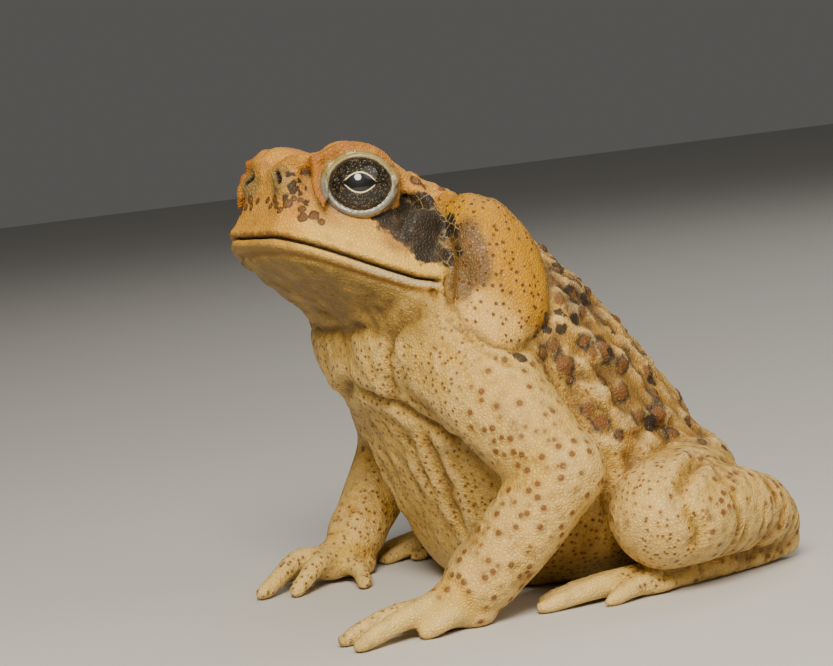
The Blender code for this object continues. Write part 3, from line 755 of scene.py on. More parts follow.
# %% [markdown]
# ## Folds, swellings and wrinkles
#
# Loose skin folds where the toad bends: behind the jaw, in front of and below the gland, between the two
# breast swellings, down the belly and over the hip. Each fold is a line of a few points. The skin sinks
# along it and swells a little on both sides, as a real fold does. Breast, jaw corner, knee and shank swell
# softly between the folds, the glands rise out of their borders, and fine wrinkles run down the belly.

# %% Lines of the folds
# A line, how wide the fold is and how deep.
FOLDS = [
    ([(24.0, -5.2, 64.0), (24.1, -6.0, 61.5), (25.5, -7.5, 58.6)], 0.55, 1.0),
    ([(24.6, -2.9, 64.5), (26.0, -4.4, 61.3), (27.0, -5.8, 57.7)], 0.55, 0.9),
    ([(27.0, -6.3, 57.0), (32.0, -4.6, 52.7), (36.5, -1.1, 48.4), (38.6, 2.1, 46.3)], 0.65, 0.9),
    ([(26.9, -7.4, 56.0), (31.9, -5.8, 51.5), (35.5, -4.2, 48.6)], 0.5, 0.5),
    ([(24.7, -8.6, 58.4), (20.0, -12.5, 55.1), (17.3, -12.8, 52.6), (15.5, -13.2, 47.7),
      (13.1, -11.4, 40.9)], 1.1, 1.1),
    ([(0.0, -15.4, 54.5), (8.0, -14.9, 55.2), (15.0, -13.6, 54.6)], 1.1, 0.8),
    ([(0.0, -15.0, 44.4), (5.4, -13.6, 42.6), (11.3, -11.8, 40.5), (16.3, -8.2, 36.6),
      (20.2, -5.2, 34.2), (30.0, -5.6, 33.2)], 1.4, 1.3),
    ([(15.4, -8.6, 35.5), (14.6, -6.5, 30.4), (14.5, -5.2, 26.6), (13.2, -1.4, 13.0)], 1.3, 1.1),
    ([(9.0, -10.2, 33.0), (10.0, -7.2, 27.0), (9.5, -5.0, 20.8), (8.7, -1.7, 13.1)], 1.2, 0.45),
    ([(4.2, -11.0, 38.0), (3.4, -6.9, 27.1), (5.2, -4.4, 20.2)], 1.4, 0.35),
    ([(33.3, 20.5, 23.5), (33.1, 20.6, 17.6), (31.8, 21.9, 11.4)], 1.1, 1.0),
    ([(33.0, 27.2, 29.4), (31.2, 33.9, 29.7), (26.7, 42.4, 29.6)], 1.2, 1.0),
    ([(46.0, 34.7, 24.5), (49.8, 30.5, 24.0), (52.3, 27.7, 22.9), (54.2, 24.8, 21.1),
      (55.4, 24.2, 18.7)], 1.2, 2.0),
    ([(55.4, 24.2, 18.7), (55.9, 25.2, 15.9), (55.5, 26.4, 13.0), (54.7, 25.7, 9.7)], 1.1, 1.2),
    ([(51.0, 24.0, 23.6), (52.6, 21.8, 21.4), (54.0, 20.4, 18.4)], 0.7, 0.45),
    ([(36.0, 20.5, 21.5), (41.2, 17.1, 17.0), (45.9, 15.8, 13.9)], 0.9, 0.5),
]
# Middle, size and height.
SWELLINGS = [
    ((7.5, -15.0, 48.5), 6.5, 1.1), ((22.0, -11.0, 44.0), 7.0, 1.2), ((31.0, -9.0, 40.5), 6.5, 0.9),
    ((27.5, -8.0, 60.0), 2.6, 0.5), ((52.0, 18.5, 17.0), 6.0, 0.8), ((53.5, 33.5, 15.5), 6.0, 0.9),
]
FOLD_FADE = 3.0
ARMPIT = np.array([37.0, -5.9, 32.1])
CREASES_ROUND_ARMPIT = 9
DOWN_THE_BELLY = (0.25, 0.05, -0.95)
GLAND_OUTLINE = [
    (20.1, -0.8, 76.9), (22.7, -1.6, 73.7), (24.4, -1.9, 70.1), (24.7, -2.6, 65.2), (26.5, -3.9, 62.2),
    (26.6, -4.5, 59.2), (28.6, -4.3, 56.9), (30.7, -3.5, 54.8), (32.7, -1.8, 52.9), (34.4, 0.3, 51.5),
    (34.4, 4.0, 50.2), (31.1, 9.0, 50.2), (29.2, 14.7, 53.0), (26.7, 17.0, 58.8), (23.6, 18.0, 62.2),
    (16.4, 20.5, 67.1), (11.5, 17.0, 72.0), (10.0, 10.0, 77.0), (12.5, 3.0, 79.5), (16.0, 0.2, 79.0),
]


# %% Sink the folds and raise what swells
def gland_distance(points):
    """Distance from the gland's outline as seen from outside, negative on the gland."""
    best = np.full(len(points), 20.0)
    for side, word in SIDES:
        centre, axes = mirrored(GLAND_CENTRE, side), gland_axes(side)
        corners = (np.array([mirrored(corner, side) for corner in GLAND_OUTLINE]) - centre) @ axes.T
        local = (points - centre) @ axes.T
        gap = polygon_distance(local[:, 0], local[:, 1], corners[:, :2])
        best = np.where(local[:, 2] > -4.0, np.minimum(best, gap), best)
    return best


def sink_folds(points, normals):
    """A groove with a ridge beside it along each fold, fading over FOLD_FADE mm at its ends."""
    rise = np.zeros(len(points))
    for chain, width, depth in FOLDS:
        for side, word in SIDES:
            line = snapped(thin_line(chain, side), points)
            length = np.linalg.norm(np.diff(line[:, :3], axis=0), axis=1).sum()
            gap, place = line_distance(points, line)
            gap = gap + 0.3 * noise(points, 2.5, 4)
            fade = step(-0.5, FOLD_FADE, place) * step(-0.5, FOLD_FADE, length - place)
            rise += fade * relief(gap, [(0.0, -depth, width), (2.2 * width, 0.45 * depth, width)])
    return points + normals * rise[:, None]


def swell(points, normals):
    """height bell(d, size) round the middle of each swelling."""
    rise = np.zeros(len(points))
    for middle, size, height in SWELLINGS:
        for side, word in SIDES:
            rise += height * bell(np.linalg.norm(points - mirrored(middle, side), axis=1), size)
    return points + normals * rise[:, None]


def raise_glands(points, normals):
    """The gland stands 1 mm out of its border, with a crease just outside it."""
    gap = gland_distance(points) + 0.25 * noise(points, 2.0, 8)
    rise = step(0.0, -4.5, gap) + relief(gap, [(0.6, -1.3, 0.9)])
    return points + normals * rise[:, None]


def wrinkle(points, normals):
    """Wrinkles down breast and belly, and creases (0.5 + 0.5 cos(n turn))^3 that run out from the armpit."""
    behind = step(8.0, 20.0, points[:, 1])
    torso = (1 - step(30.0, 36.0, np.abs(points[:, 0]))) * (1 - behind) * step(6.0, 12.0, points[:, 2])
    torso *= 1 - on_head(points)
    rise = 0.45 * drawn_noise(points, 1.5, DOWN_THE_BELLY, 0.67, 14) * torso
    for side, word in SIDES:
        way = points - mirrored(ARMPIT, side)
        reach = np.linalg.norm(way, axis=1)
        turn = np.arctan2(way[:, 2], way[:, 1] * side)
        ray = 0.5 + 0.5 * np.cos(CREASES_ROUND_ARMPIT * turn + 2 * noise(points, 3.0, 15))
        rise -= 0.25 * bell(reach - 4.5, 3.0) * ray ** 3
    return points + normals * rise[:, None]


reshape(sink_folds, swell, raise_glands, wrinkle)
print("folds", len(FOLDS), "to a side, gland points", int((gland_distance(get_points(skin_mesh)) < 0).sum()))

# %% [markdown]
# ## Rings round shank, foot and wrist
#
# Where a folded leg is short of room its skin lies in rings across the limb. The rings need a measure
# along the limb, which the chain of the limb gives: the nearest place on it, in millimetres from its start.

# %% Ring folds
# Chain, where the rings start and stop along it, how far they are apart and how deep.
RINGS = [
    (SHANK, 1.5, 30.0, 2.7, 0.85),
    (FOOT, 0.0, 17.0, 2.3, 0.40),
    (FOREARM, 12.5, 22.0, 2.4, 0.32),
    (PALM, 0.0, 4.5, 2.2, 0.22),
]
RING_REACH = 2.8


def ring_folds(points):
    """How deep a point lies in a ring's groove, 0 to 1, and by how much that sinks it."""
    groove = np.zeros(len(points))
    depth = np.zeros(len(points))
    for chain, start, stop, spacing, sink in RINGS:
        for side, word in SIDES:
            gap, place = line_distance(points, smooth_line(chain, side))
            place = place + 0.9 * noise(points, 5.0, 6)
            phase = np.abs((place / spacing) % 1.0 - 0.5)
            within = step(start, start + 3, place) * (1 - step(stop - 3, stop, place))
            here = bell(phase, 0.17) * (np.abs(gap) < RING_REACH) * within
            groove = np.maximum(groove, here)
            depth = np.maximum(depth, sink * here)
    return groove, depth


points = get_points(skin_mesh)
groove, depth = ring_folds(points)
set_points(skin_mesh, points - get_normals(skin_mesh) * depth[:, None])
print("points in ring grooves", int((groove > 0.5).sum()))

# %% [markdown]
# ## Warts
#
# The back carries large warts, red-brown on top with black skin round them, and between them the skin is
# gathered into lumps drawn out down the back. The largest warts are placed where the photograph shows
# them; the rest are drawn at random, each kept clear of its neighbours. A wart swells as (1 - (d/r)^2)^2.

# %% Lumps and warts of the back
# Place and radius.
WARTS = [
    (28.8, 25.8, 46.1, 2.1), (25.7, 36.6, 39.4, 1.6), (31.2, 27.7, 37.4, 1.6), (30.4, 35.0, 31.4, 1.9),
    (33.9, 9.2, 45.0, 1.4), (31.1, 15.9, 44.8, 1.8), (30.4, 14.9, 48.6, 1.1), (26.8, 18.6, 56.6, 1.4),
    (32.6, 19.6, 35.8, 1.4), (33.5, 21.5, 32.9, 1.6), (30.4, 11.0, 47.7, 1.1), (30.4, 22.0, 45.0, 1.2),
    (26.4, 23.2, 53.3, 1.0), (25.4, 26.1, 52.1, 1.0), (31.3, 23.5, 40.3, 1.1), (20.0, 39.2, 43.3, 1.0),
    (16.8, 30.3, 56.7, 1.2), (17.2, 35.9, 49.8, 1.2), (33.1, 24.1, 29.9, 1.0), (30.2, 38.1, 27.1, 1.2),
]
WART_SEED = 11
WART_COUNT = 110
WART_SPACE = 1.1875
DOWN_THE_BACK = (0.0, 0.72, -0.69)
LUMP_HEIGHT = 1.7


def back_share(points, normals):
    """1 on the back and upper flanks behind the glands, 0 on belly, head and limbs."""
    to_rear = normals @ np.array([0.0, 0.78, 0.62])
    behind = step(10.0, 20.0, points[:, 1] + 0.55 * (points[:, 2] - 45.0) * (points[:, 2] > 45.0))
    high = step(9.0, 27.0, points[:, 2])
    on_torso = 1 - step(33.5, 36.0, np.abs(points[:, 0]))
    return step(-0.45, 0.1, to_rear) * behind * high * on_torso


def all_warts(points, normals):
    """The placed warts of both sides, then random ones whose middles stay WART_SPACE (r1 + r2) apart."""
    rng = np.random.default_rng(WART_SEED)
    chosen = list(snapped([mirrored(wart, side) for wart in WARTS for side, word in SIDES], points))
    where = np.flatnonzero((back_share(points, normals) > 0.6) & (gland_distance(points) > 2.0))
    for index in rng.permutation(where):
        radius = rng.uniform(0.7, 1.5)
        spot = points[index]
        if all(np.linalg.norm(spot - other[:3]) > WART_SPACE * (radius + other[3]) for other in chosen):
            chosen.append(np.array([*spot, radius]))
        if len(chosen) >= WART_COUNT + 2 * len(WARTS):
            break
    return np.array(chosen)


def nearest_ratio(points, balls):
    """Distance to the nearest of many x, y, z, radius, measured in its own radius, and that radius."""
    ratio, radius = np.full(len(points), 9.0), np.zeros(len(points))
    for ball in balls:
        here = np.linalg.norm(points - ball[:3], axis=1) / ball[3]
        radius = np.where(here < ratio, ball[3], radius)
        ratio = np.minimum(ratio, here)
    return ratio, radius


def lumps(points):
    """Two sizes of noise drawn out down the back, so that the lumps are longer than wide."""
    small = drawn_noise(points, 1.6, DOWN_THE_BACK, 0.5, 21)
    large = drawn_noise(points, 2.9, DOWN_THE_BACK, 0.5, 22)
    return 0.6 * small + 0.5 * large


points, normals = get_points(skin_mesh), get_normals(skin_mesh)
back = back_share(points, normals) * step(-0.5, 1.0, gland_distance(points))
warts = all_warts(points, normals)
lumpy = lumps(points)
points = points + normals * (LUMP_HEIGHT * lumpy * back)[:, None]
wart_ratio, wart_radius = nearest_ratio(points, warts)
wart_rise = 0.55 * wart_radius * (1 - np.clip(wart_ratio / 1.3, 0, 1) ** 2) ** 2
set_points(skin_mesh, points + normals * wart_rise[:, None])
print("warts", len(warts))

# %% [markdown]
# ## Broad colours
#
# The skin is cream below, ochre-tan above, golden over the glands and orange-brown along the crests. These
# zones shade into each other over millimetres, so they are mixed per point and kept as one colour
# attribute. Each zone is a mask worked out from the same forms that shaped the skin. Folds get painted
# shade and ridges a painted highlight: how far the neighbourhood's average stands outside the surface tells
# one from the other.

# %% Tints of the zones
CREAM = (0.60, 0.36, 0.062)
PALE_BELLY = (0.62, 0.39, 0.085)
BACK_TAN = (0.42, 0.22, 0.032)
# Blackish brown for the back's own dark patches, also used as painted shade in the valleys between lumps.
DARK_BACK_AND_VALLEY_SHADE = (0.060, 0.034, 0.011)
GOLD = (0.50, 0.235, 0.001)
PEACH = (0.72, 0.43, 0.10)
GREY_BROWN = (0.105, 0.064, 0.024)
ORANGE_BROWN = (0.34, 0.115, 0.008)
SNOUT_TAN = (0.56, 0.24, 0.020)
LIP_CREAM = (0.76, 0.45, 0.075)
CHEEK = (0.44, 0.20, 0.032)
OLIVE_GREY = (0.20, 0.14, 0.042)
# Painted shade under the chin.
CHIN_SHADE = (0.21, 0.135, 0.028)
DIGIT_YELLOW = (0.64, 0.43, 0.10)
# Brown of real stains, also used as painted shade in the ring grooves of the limbs.
STAIN_AND_GROOVE_SHADE = (0.24, 0.105, 0.008)
# Painted shade for folds and hollows.
FOLD_SHADE = (0.15, 0.078, 0.014)
# Painted highlight for ridges and for the tops of the back's lumps.
RIDGE_HIGHLIGHT = (0.80, 0.57, 0.22)

# %% Zones of body and face
NOSTRIL_MOUND = np.array([5.4, 32.0, 8.6])
CLOUD_MIDDLE = np.array([26.0, -0.4, 67.0])
CLOUD_HALF = np.array([8.0, 5.6, 8.6])
WRIST_STAIN = np.array([38.2, -12.8, 15.0])


def body_layers(points, normals, marks, patchy):
    """Paler below, tan and blackish above, painted shade between the lumps of the back and painted highlight
    on them.
    """
    on_back = marks["back"]
    upper = step(38.0, 60.0, points[:, 2]) * on_back
    facing_down = normals @ np.array([0, -0.6, -0.8])
    return [
        (PALE_BELLY, step(0.0, 0.8, facing_down) * (1 - marks["head"])),
        (BACK_TAN, on_back),
        (DARK_BACK_AND_VALLEY_SHADE, upper * step(-0.3, 0.5, patchy) * 0.9),
        (DARK_BACK_AND_VALLEY_SHADE, on_back * step(0.45, 0.9, patchy) * 0.8),
        # Painted shade in the valleys between the lumps.
        (DARK_BACK_AND_VALLEY_SHADE, on_back * step(0.05, -0.4, lumpy) * (0.55 + 0.4 * upper)),
        # Painted highlight on the tops of the lumps.
        (RIDGE_HIGHLIGHT, on_back * step(0.15, 0.5, lumpy) * 0.35),
    ]


def face_layers(points, normals, marks, patchy):
    """Painted shade under the chin, mottled cheek, cream upper lip, orange snout, olive nostrils,
    orange-brown crests.
    """
    local = in_head(points)
    head, mouth = marks["head"], marks["mouth"]
    under_chin = step(-2.6, -6.0, local[:, 2]) * step(-8.0, 14.0, local[:, 1] + 3.0 * patchy)
    face = head * step(-1.5, -0.5, mouth)
    below_eye = bell(local[:, 1] - 22.0, 6.0) * (1 - step(3.0, 8.0, mouth))
    front = step(27.5, 30.5, local[:, 1] + 0.4 * patchy)
    mound = np.linalg.norm(folded_left(local) - NOSTRIL_MOUND, axis=1)
    return [
        # Painted shade under the chin.
        (CHIN_SHADE, head * under_chin * 0.85),
        (CHEEK, face),
        (LIP_CREAM, face * step(-0.3, 0.5, noise(points, 4.0, 35)) * 0.55),
        (LIP_CREAM, face * (1 - step(3.2, 5.2, mouth + 0.5 * patchy))),
        (LIP_CREAM, face * below_eye * 0.7),
        (SNOUT_TAN, face * front * (0.75 - 0.35 * step(0.0, 0.6, patchy))),
        (OLIVE_GREY, face * (1 - step(2.2, 4.4, mound + 0.5 * patchy)) * 0.9),
        (SNOUT_TAN, head * step(12.5, 14.5, local[:, 2]) * 0.8),
        (ORANGE_BROWN, bell(np.maximum(marks["crest"] - 0.6, 0), 0.8) * 0.9),
    ]


# %% Zones of glands, limbs and folds, and the mixing
def gland_layers(points, normals, marks, patchy):
    """Golden above, peach below and in front, with a grey-brown cloud next to the ear."""
    on_gland = step(0.3, -0.5, marks["gland"] + 0.4 * patchy)
    low_front = step(4.0, -4.0, points[:, 1] - 4.5 + 0.75 * (points[:, 2] - 58.0) + 2.2 * patchy)
    cloud = np.linalg.norm((folded_left(points) - CLOUD_MIDDLE) / CLOUD_HALF, axis=1) + 0.22 * patchy
    return [
        (GOLD, on_gland),
        (PEACH, on_gland * low_front),
        (GREY_BROWN, on_gland * (1 - step(0.75, 1.1, cloud)) * 0.9),
    ]


def limb_and_fold_layers(points, normals, marks, patchy):
    """Yellow digits, a stained wrist, painted shade in the ring grooves, then painted shade in folds and
    painted highlights on ridges everywhere.
    """
    stain = np.linalg.norm(points - WRIST_STAIN, axis=1) + 1.2 * patchy
    ringed = marks["ring_groove"] * (0.5 + 0.5 * step(-0.2, 0.4, noise(points, 2.6, 33)))
    ridge_highlight_share = step(-0.10, -0.45, marks["hollow"]) * (1 - marks["head"]) * step(-1.0, 1.0, marks["gland"])
    return [
        (DIGIT_YELLOW, step(1.0, 0.2, marks["digit"])),
        (STAIN_AND_GROOVE_SHADE, (1 - step(2.0, 6.0, stain)) * 0.75),
        # Painted shade in the ring grooves, broken up by noise.
        (STAIN_AND_GROOVE_SHADE, ringed * 0.7),
        # Painted shade in folds and painted highlight on ridges, by how hollow the surface is.
        (FOLD_SHADE, step(0.06, 0.48, marks["hollow"]) * 0.68),
        (RIDGE_HIGHLIGHT, ridge_highlight_share * 0.45),
    ]


def broad_colours(points, normals, marks):
    """Starts from cream and mixes in each layer: colour (1 - share) + tint share."""
    patchy = noise(points, 3.0, 31) + 0.5 * noise(points, 1.3, 32)
    colour = np.tile(np.array(CREAM), (len(points), 1))
    for zone in (body_layers, face_layers, gland_layers, limb_and_fold_layers):
        for tint, share in zone(points, normals, marks, patchy):
            colour = colour + (np.array(tint) - colour) * np.clip(share, 0.0, 1.0)[:, None]
    return colour


# %% [markdown]
# ## Marks kept on the mesh
#
# Spots, lips and lids need crisp borders, finer than the faces. So the mesh keeps the distance to each
# border, which changes evenly and survives interpolation, and the material draws the border where that
# distance crosses zero. Spots of the snout are measured in the head's frame, blotches of the back in the
# toad's, both folded over to the left side.

# %% Places of the markings
EAR_PATCH = [
    (17.6, 6.0), (15.0, 8.1), (12.4, 9.6), (12.0, 13.6), (9.1, 14.4), (7.1, 13.2), (4.6, 10.9), (3.4, 8.4),
    (2.4, 4.3), (2.4, 1.6), (4.4, 1.4), (7.3, 0.9), (10.6, 1.6), (13.0, 3.0), (15.1, 4.6),
]
BLACK_SPOTS = [
    (7.6, 32.2, 10.1, 0.7), (8.6, 31.1, 7.6, 1.1), (8.9, 31.0, 8.6, 0.8), (7.8, 31.4, 5.9, 0.7),
    (9.6, 29.6, 7.0, 0.6), (10.8, 28.8, 5.2, 0.7), (8.2, 31.4, 10.4, 0.4), (9.6, 30.0, 9.4, 0.5),
    (10.4, 29.4, 8.6, 0.5),
]
RINGED_WARTS = [
    (4.6, 31.9, 5.6, 0.9), (3.6, 32.0, 3.8, 0.7), (6.0, 31.9, 3.7, 0.8), (8.4, 30.9, 4.6, 1.0),
    (11.9, 28.9, 2.4, 1.0), (13.0, 27.3, 3.4, 1.0), (9.1, 30.4, 5.8, 0.6), (10.0, 29.5, 5.9, 0.6),
    (10.9, 29.1, 4.0, 0.8), (7.4, 31.4, 2.9, 0.7), (14.6, 26.4, 2.2, 0.7), (2.0, 32.4, 5.0, 0.7),
]
BLACK_BLOTCHES = [
    (29.7, 13.6, 54.0, 1.2), (29.9, 13.8, 51.9, 1.4), (30.4, 11.4, 50.8, 1.2), (36.7, 3.4, 48.0, 1.6),
    (25.1, 22.7, 56.0, 1.3), (27.9, 20.8, 52.6, 1.4), (29.4, 17.0, 51.3, 1.2), (24.4, 30.8, 48.4, 1.0),
    (22.0, 27.0, 55.7, 1.6), (23.5, 22.8, 58.0, 1.2), (28.1, 17.6, 54.1, 1.1), (24.5, 21.0, 60.5, 1.4),
    (19.0, 24.0, 62.5, 1.6), (30.8, 26.8, 45.6, 1.2), (25.8, 37.8, 38.4, 1.6), (33.2, 17.0, 43.0, 1.3),
    (34.2, 10.4, 43.8, 1.4), (31.6, 33.4, 30.6, 1.8), (27.0, 37.5, 31.5, 2.0),
]
SNOUT_WART_RISE = 0.35
NOWHERE = 20.0


# %% Measure the marks
def signed_spots(points, balls):
    """Least distance to the rim of many x, y, z, radius, negative inside one."""
    best = np.full(len(points), NOWHERE)
    for ball in balls:
        best = np.minimum(best, np.linalg.norm(points - np.array(ball[:3]), axis=1) - ball[3])
    return best


def hollows(mesh, points, normals, rounds=14):
    """How far the neighbourhood's average stands outside the surface, in millimetres: positive in folds."""
    ends = edge_ends(mesh)
    spread = points
    for turn in range(rounds):
        spread = neighbour_mean(spread, ends)
    return ((spread - points) * normals).sum(axis=1)


def digit_distance(points):
    """Distance from the nearest finger or toe of either side."""
    chains = [(chain, 1) for chain in FINGERS + TOES] + [(chain, -1) for chain in FINGERS_FAR + TOES]
    return np.min([line_distance(points, smooth_line(chain, side))[0] for chain, side in chains], axis=0)


def put_attribute(mesh, name, values):
    """Keeps a number, or a colour, for every point under a name that materials can read."""
    kind, key = ("FLOAT_COLOR", "color") if values.ndim == 2 else ("FLOAT", "value")
    if values.ndim == 2:
        values = np.column_stack([values, np.ones(len(values))])
    layer = mesh.attributes.new(name, kind, "POINT")
    layer.data.foreach_set(key, values.astype(np.float32).ravel())


points, normals = get_points(skin_mesh), get_normals(skin_mesh)
local = in_head(points)
folded = folded_left(local)
snout_ratio, _ = nearest_ratio(folded, snapped(RINGED_WARTS, folded))
snout_rise = SNOUT_WART_RISE * (1 - np.clip(snout_ratio / 1.2, 0, 1) ** 2) ** 2
set_points(skin_mesh, points + normals * snout_rise[:, None])
points, normals = get_points(skin_mesh), get_normals(skin_mesh)
way, opening, up, out = lid_place(local)
ear_side = folded[:, 0] > 12
before_neck = step(-2.0, 2.0, local[:, 1] + 0.25 * np.minimum(local[:, 2], 0.0))
marks = {
    "head": before_neck * step(-16.0, -12.0, local[:, 2]),
    "mouth": np.where(local[:, 1] > -2, mouth_height(local), NOWHERE),
    "opening": np.where((out > 0) & (np.linalg.norm(way, axis=1) < 11), opening, 4.0),
    "lid_height": up,
    "ear": np.where(ear_side, polygon_distance(local[:, 1], local[:, 2], EAR_PATCH), NOWHERE),
    "black": np.minimum(
        signed_spots(folded, snapped(BLACK_SPOTS, folded)), signed_spots(folded_left(points), BLACK_BLOTCHES)
    ),
    "ringed": snout_ratio,
    "wart": wart_ratio,
    "gland": gland_distance(points),
    "crest": np.minimum(
        chain_distance(points, BROW, on_surface=True), chain_distance(points, PREOCULAR_RIDGE) + 0.4
    ),
    "digit": digit_distance(points),
    "back": back_share(points, normals),
    "ring_groove": groove,
    "hollow": hollows(skin_mesh, points, normals),
    "nostril": nostril_gap,
    "mouth_share": step(2.0, 4.6, local[:, 1]) * on_head(points),
    "rear_lip": step(24.0, 14.0, local[:, 1]),
    "ear_rear": step(10.0, 5.0, local[:, 1] - 0.4 * (local[:, 2] - 7.0)),
}
print("marks", len(marks))

# %% Where the dots are, and all attributes
off_head, off_gland = 1 - marks["head"], step(0.0, 1.5, marks["gland"])
off_knee = np.maximum(step(18.0, 13.0, points[:, 1]), step(26.0, 30.0, points[:, 1]))
on_limbs = step(33.0, 37.0, np.abs(points[:, 0])) * (1 - marks["back"]) * off_knee
below_mouth = step(-2.5, -4.5, marks["mouth"]) * marks["head"]
on_body = off_head * (1 - on_limbs) * (1 - 0.6 * marks["back"]) * off_gland
marks["fine_dots"] = np.maximum(on_body, 0.6 * below_mouth)
marks["large_dots"] = on_limbs * off_head * off_gland * step(0.0, 1.2, marks["digit"])
for name, values in marks.items():
    put_attribute(skin_mesh, name, values)
put_attribute(skin_mesh, "tone", broad_colours(points, normals, marks))
print("attributes", len(marks) + 1)

# %% [markdown]
# ## The eyes
#
# Each eye is a ball of rings about its line of sight, a little fuller in front where the cornea stands
# out. Every point keeps where it lies across, up and out, in eye radii, so that the iris can be painted
# in the eye's own directions.

# %% Make the eyeballs
CORNEA_RISE = 0.25
EYE_RINGS, EYE_SIDES = 70, 128


def eye_mesh(side, word):
    """radius = R + rise exp(-(angle/0.45)^2), in rings of growing angle from the line of sight."""
    angle = np.linspace(0.0, np.pi, EYE_RINGS + 2)[1:-1, None]
    turn = np.linspace(0.0, 2 * np.pi, EYE_SIDES, endpoint=False)
    radius = EYE_RADIUS + CORNEA_RISE * bell(angle, 0.45)
    flat, ahead = radius * np.sin(angle), radius * np.cos(angle)
    ahead = np.broadcast_to(ahead, (EYE_RINGS, EYE_SIDES))
    rings = np.stack([flat * np.cos(turn), flat * np.sin(turn), ahead], axis=-1)
    eye = np.vstack([rings.reshape(-1, 3), [0, 0, EYE_RADIUS + CORNEA_RISE], [0, 0, -EYE_RADIUS]])
    quads, fans = closed_faces(EYE_RINGS, EYE_SIDES)
    head_points = EYE_CENTRE + eye @ np.array([LID_ACROSS, LID_UP, GAZE])
    head_points[:, 0] *= side
    mesh = bpy.data.meshes.new("eyeball_" + word)
    mesh.from_pydata(from_head(head_points).tolist(), [], quads.tolist() + fans.tolist())
    work = bmesh.new()
    work.from_mesh(mesh)
    bmesh.ops.recalc_face_normals(work, faces=work.faces)
    work.to_mesh(mesh)
    work.free()
    layer = mesh.attributes.new("gaze", "FLOAT_VECTOR", "POINT")
    layer.data.foreach_set("vector", (eye / EYE_RADIUS).astype(np.float32).ravel())
    return mesh


def new_piece(name, mesh, material, nodes):
    """A smooth piece in metres in the row frame, riding on the toad's one body."""
    set_points(mesh, (get_points(mesh) + ROW_SHIFT) * MM)
    mesh.shade_smooth()
    mesh.materials.append(material)
    piece = bpy.data.objects.new(name, mesh)
    bpy.context.scene.collection.objects.link(piece)
    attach(piece, "root")
    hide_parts(*nodes)
    print(name, "faces", len(mesh.polygons))


# %% [markdown]
# ## Building blocks for the materials
#
# Every material is a small tree of nodes. A socket knows the tree it belongs to, so these helpers need
# only sockets and numbers, and a formula reads almost as it would on paper. Two effects are node groups,
# because several layers use them with other sizes: round dots scattered in space, and fine granules, which
# are the pebbles of a toad's skin.


# %% Node helpers
def feed(socket, value):
    """Links a socket to an input, or sets the input's own number or colour."""
    if isinstance(value, bpy.types.NodeSocket):
        socket.id_data.links.new(value, socket)
    else:
        socket.default_value = (*value, 1.0) if socket.type == "RGBA" else value


def add(tree, kind, settings=None, **inputs):
    """Adds a node; each input is a socket to link or a value to set."""
    node = tree.nodes.new(kind)
    for name, value in (settings or {}).items():
        setattr(node, name, value)
    for name, value in inputs.items():
        feed(node.inputs[name.replace("_", " ")], value)
    return node


def math(operation, *values):
    """A Math node on sockets and numbers, in the tree of its first socket."""
    tree = next(value.id_data for value in values if isinstance(value, bpy.types.NodeSocket))
    node = add(tree, "ShaderNodeMath", {"operation": operation})
    for socket, value in zip(node.inputs, values):
        feed(socket, value)
    return node.outputs[0]


def plus(a, b):
    """a + b."""
    return math("ADD", a, b)


def minus(a, b):
    """a - b."""
    return math("SUBTRACT", a, b)


def times(first, *others):
    """The product of sockets and numbers."""
    for other in others:
        first = math("MULTIPLY", first, other)
    return first


# %% Easing and painting
def ease(value, low, high):
    """0 at low, 1 at high, smooth between; low may be the larger."""
    first, second, start, stop = (low, high, 0.0, 1.0) if low < high else (high, low, 1.0, 0.0)
    return add(value.id_data, "ShaderNodeMapRange", {"interpolation_type": "SMOOTHSTEP"}, Value=value,
               From_Min=first, From_Max=second, To_Min=start, To_Max=stop).outputs["Result"]


def near(value, middle, far, close):
    """0 further than far from the middle value, 1 nearer than close."""
    return ease(math("ABSOLUTE", minus(value, middle)), far, close)


def paint(under, over, share):
    """Lays one colour over another by a share from 0 to 1."""
    node = add(share.id_data, "ShaderNodeMix", {"data_type": "RGBA"})
    for index, value in ((0, share), (6, under), (7, over)):
        feed(node.inputs[index], value)
    return node.outputs[2]


def lay(under, over, strength, *shares):
    """Lays a colour over another by the product of the shares and a strength."""
    return paint(under, over, times(*shares, strength))


def read(tree, name, output="Fac"):
    """An attribute of the mesh."""
    return add(tree, "ShaderNodeAttribute", {"attribute_name": name}).outputs[output]


def new_material(name):
    """A material, its tree and its Principled shader."""
    material = bpy.data.materials.new(name)
    material.use_nodes = True
    return material, material.node_tree, material.node_tree.nodes["Principled BSDF"]


# %% The two groups
def new_group(name, inputs, outputs):
    """An empty node group with a Place vector and named numbers; returns its tree, input and output node."""
    tree = bpy.data.node_groups.new(name, "ShaderNodeTree")
    tree.interface.new_socket("Place", in_out="INPUT", socket_type="NodeSocketVector")
    for way, labels in (("INPUT", inputs), ("OUTPUT", outputs)):
        for label in labels:
            tree.interface.new_socket(label, in_out=way, socket_type="NodeSocketFloat")
    return tree, tree.nodes.new("NodeGroupInput"), tree.nodes.new("NodeGroupOutput")


def use_group(tree, group, **inputs):
    """Places a group in a material with its own values."""
    return add(tree, "ShaderNodeGroup", {"node_tree": group}, **inputs)


def dots_group():
    """In cells of 1/Scale metres, a dot whose radius is a share of the cell, and a wider mound under it."""
    tree, source, result = new_group("dots", ("Scale", "Radius"), ("Dot", "Mound"))
    cells = add(tree, "ShaderNodeTexVoronoi", {"feature": "F1"},
                Vector=source.outputs["Place"], Scale=source.outputs["Scale"])
    ratio = math("DIVIDE", cells.outputs["Distance"], source.outputs["Radius"])
    feed(result.inputs["Dot"], ease(ratio, 1.1, 0.6))
    feed(result.inputs["Mound"], ease(ratio, 2.4, 0.2))
    return tree


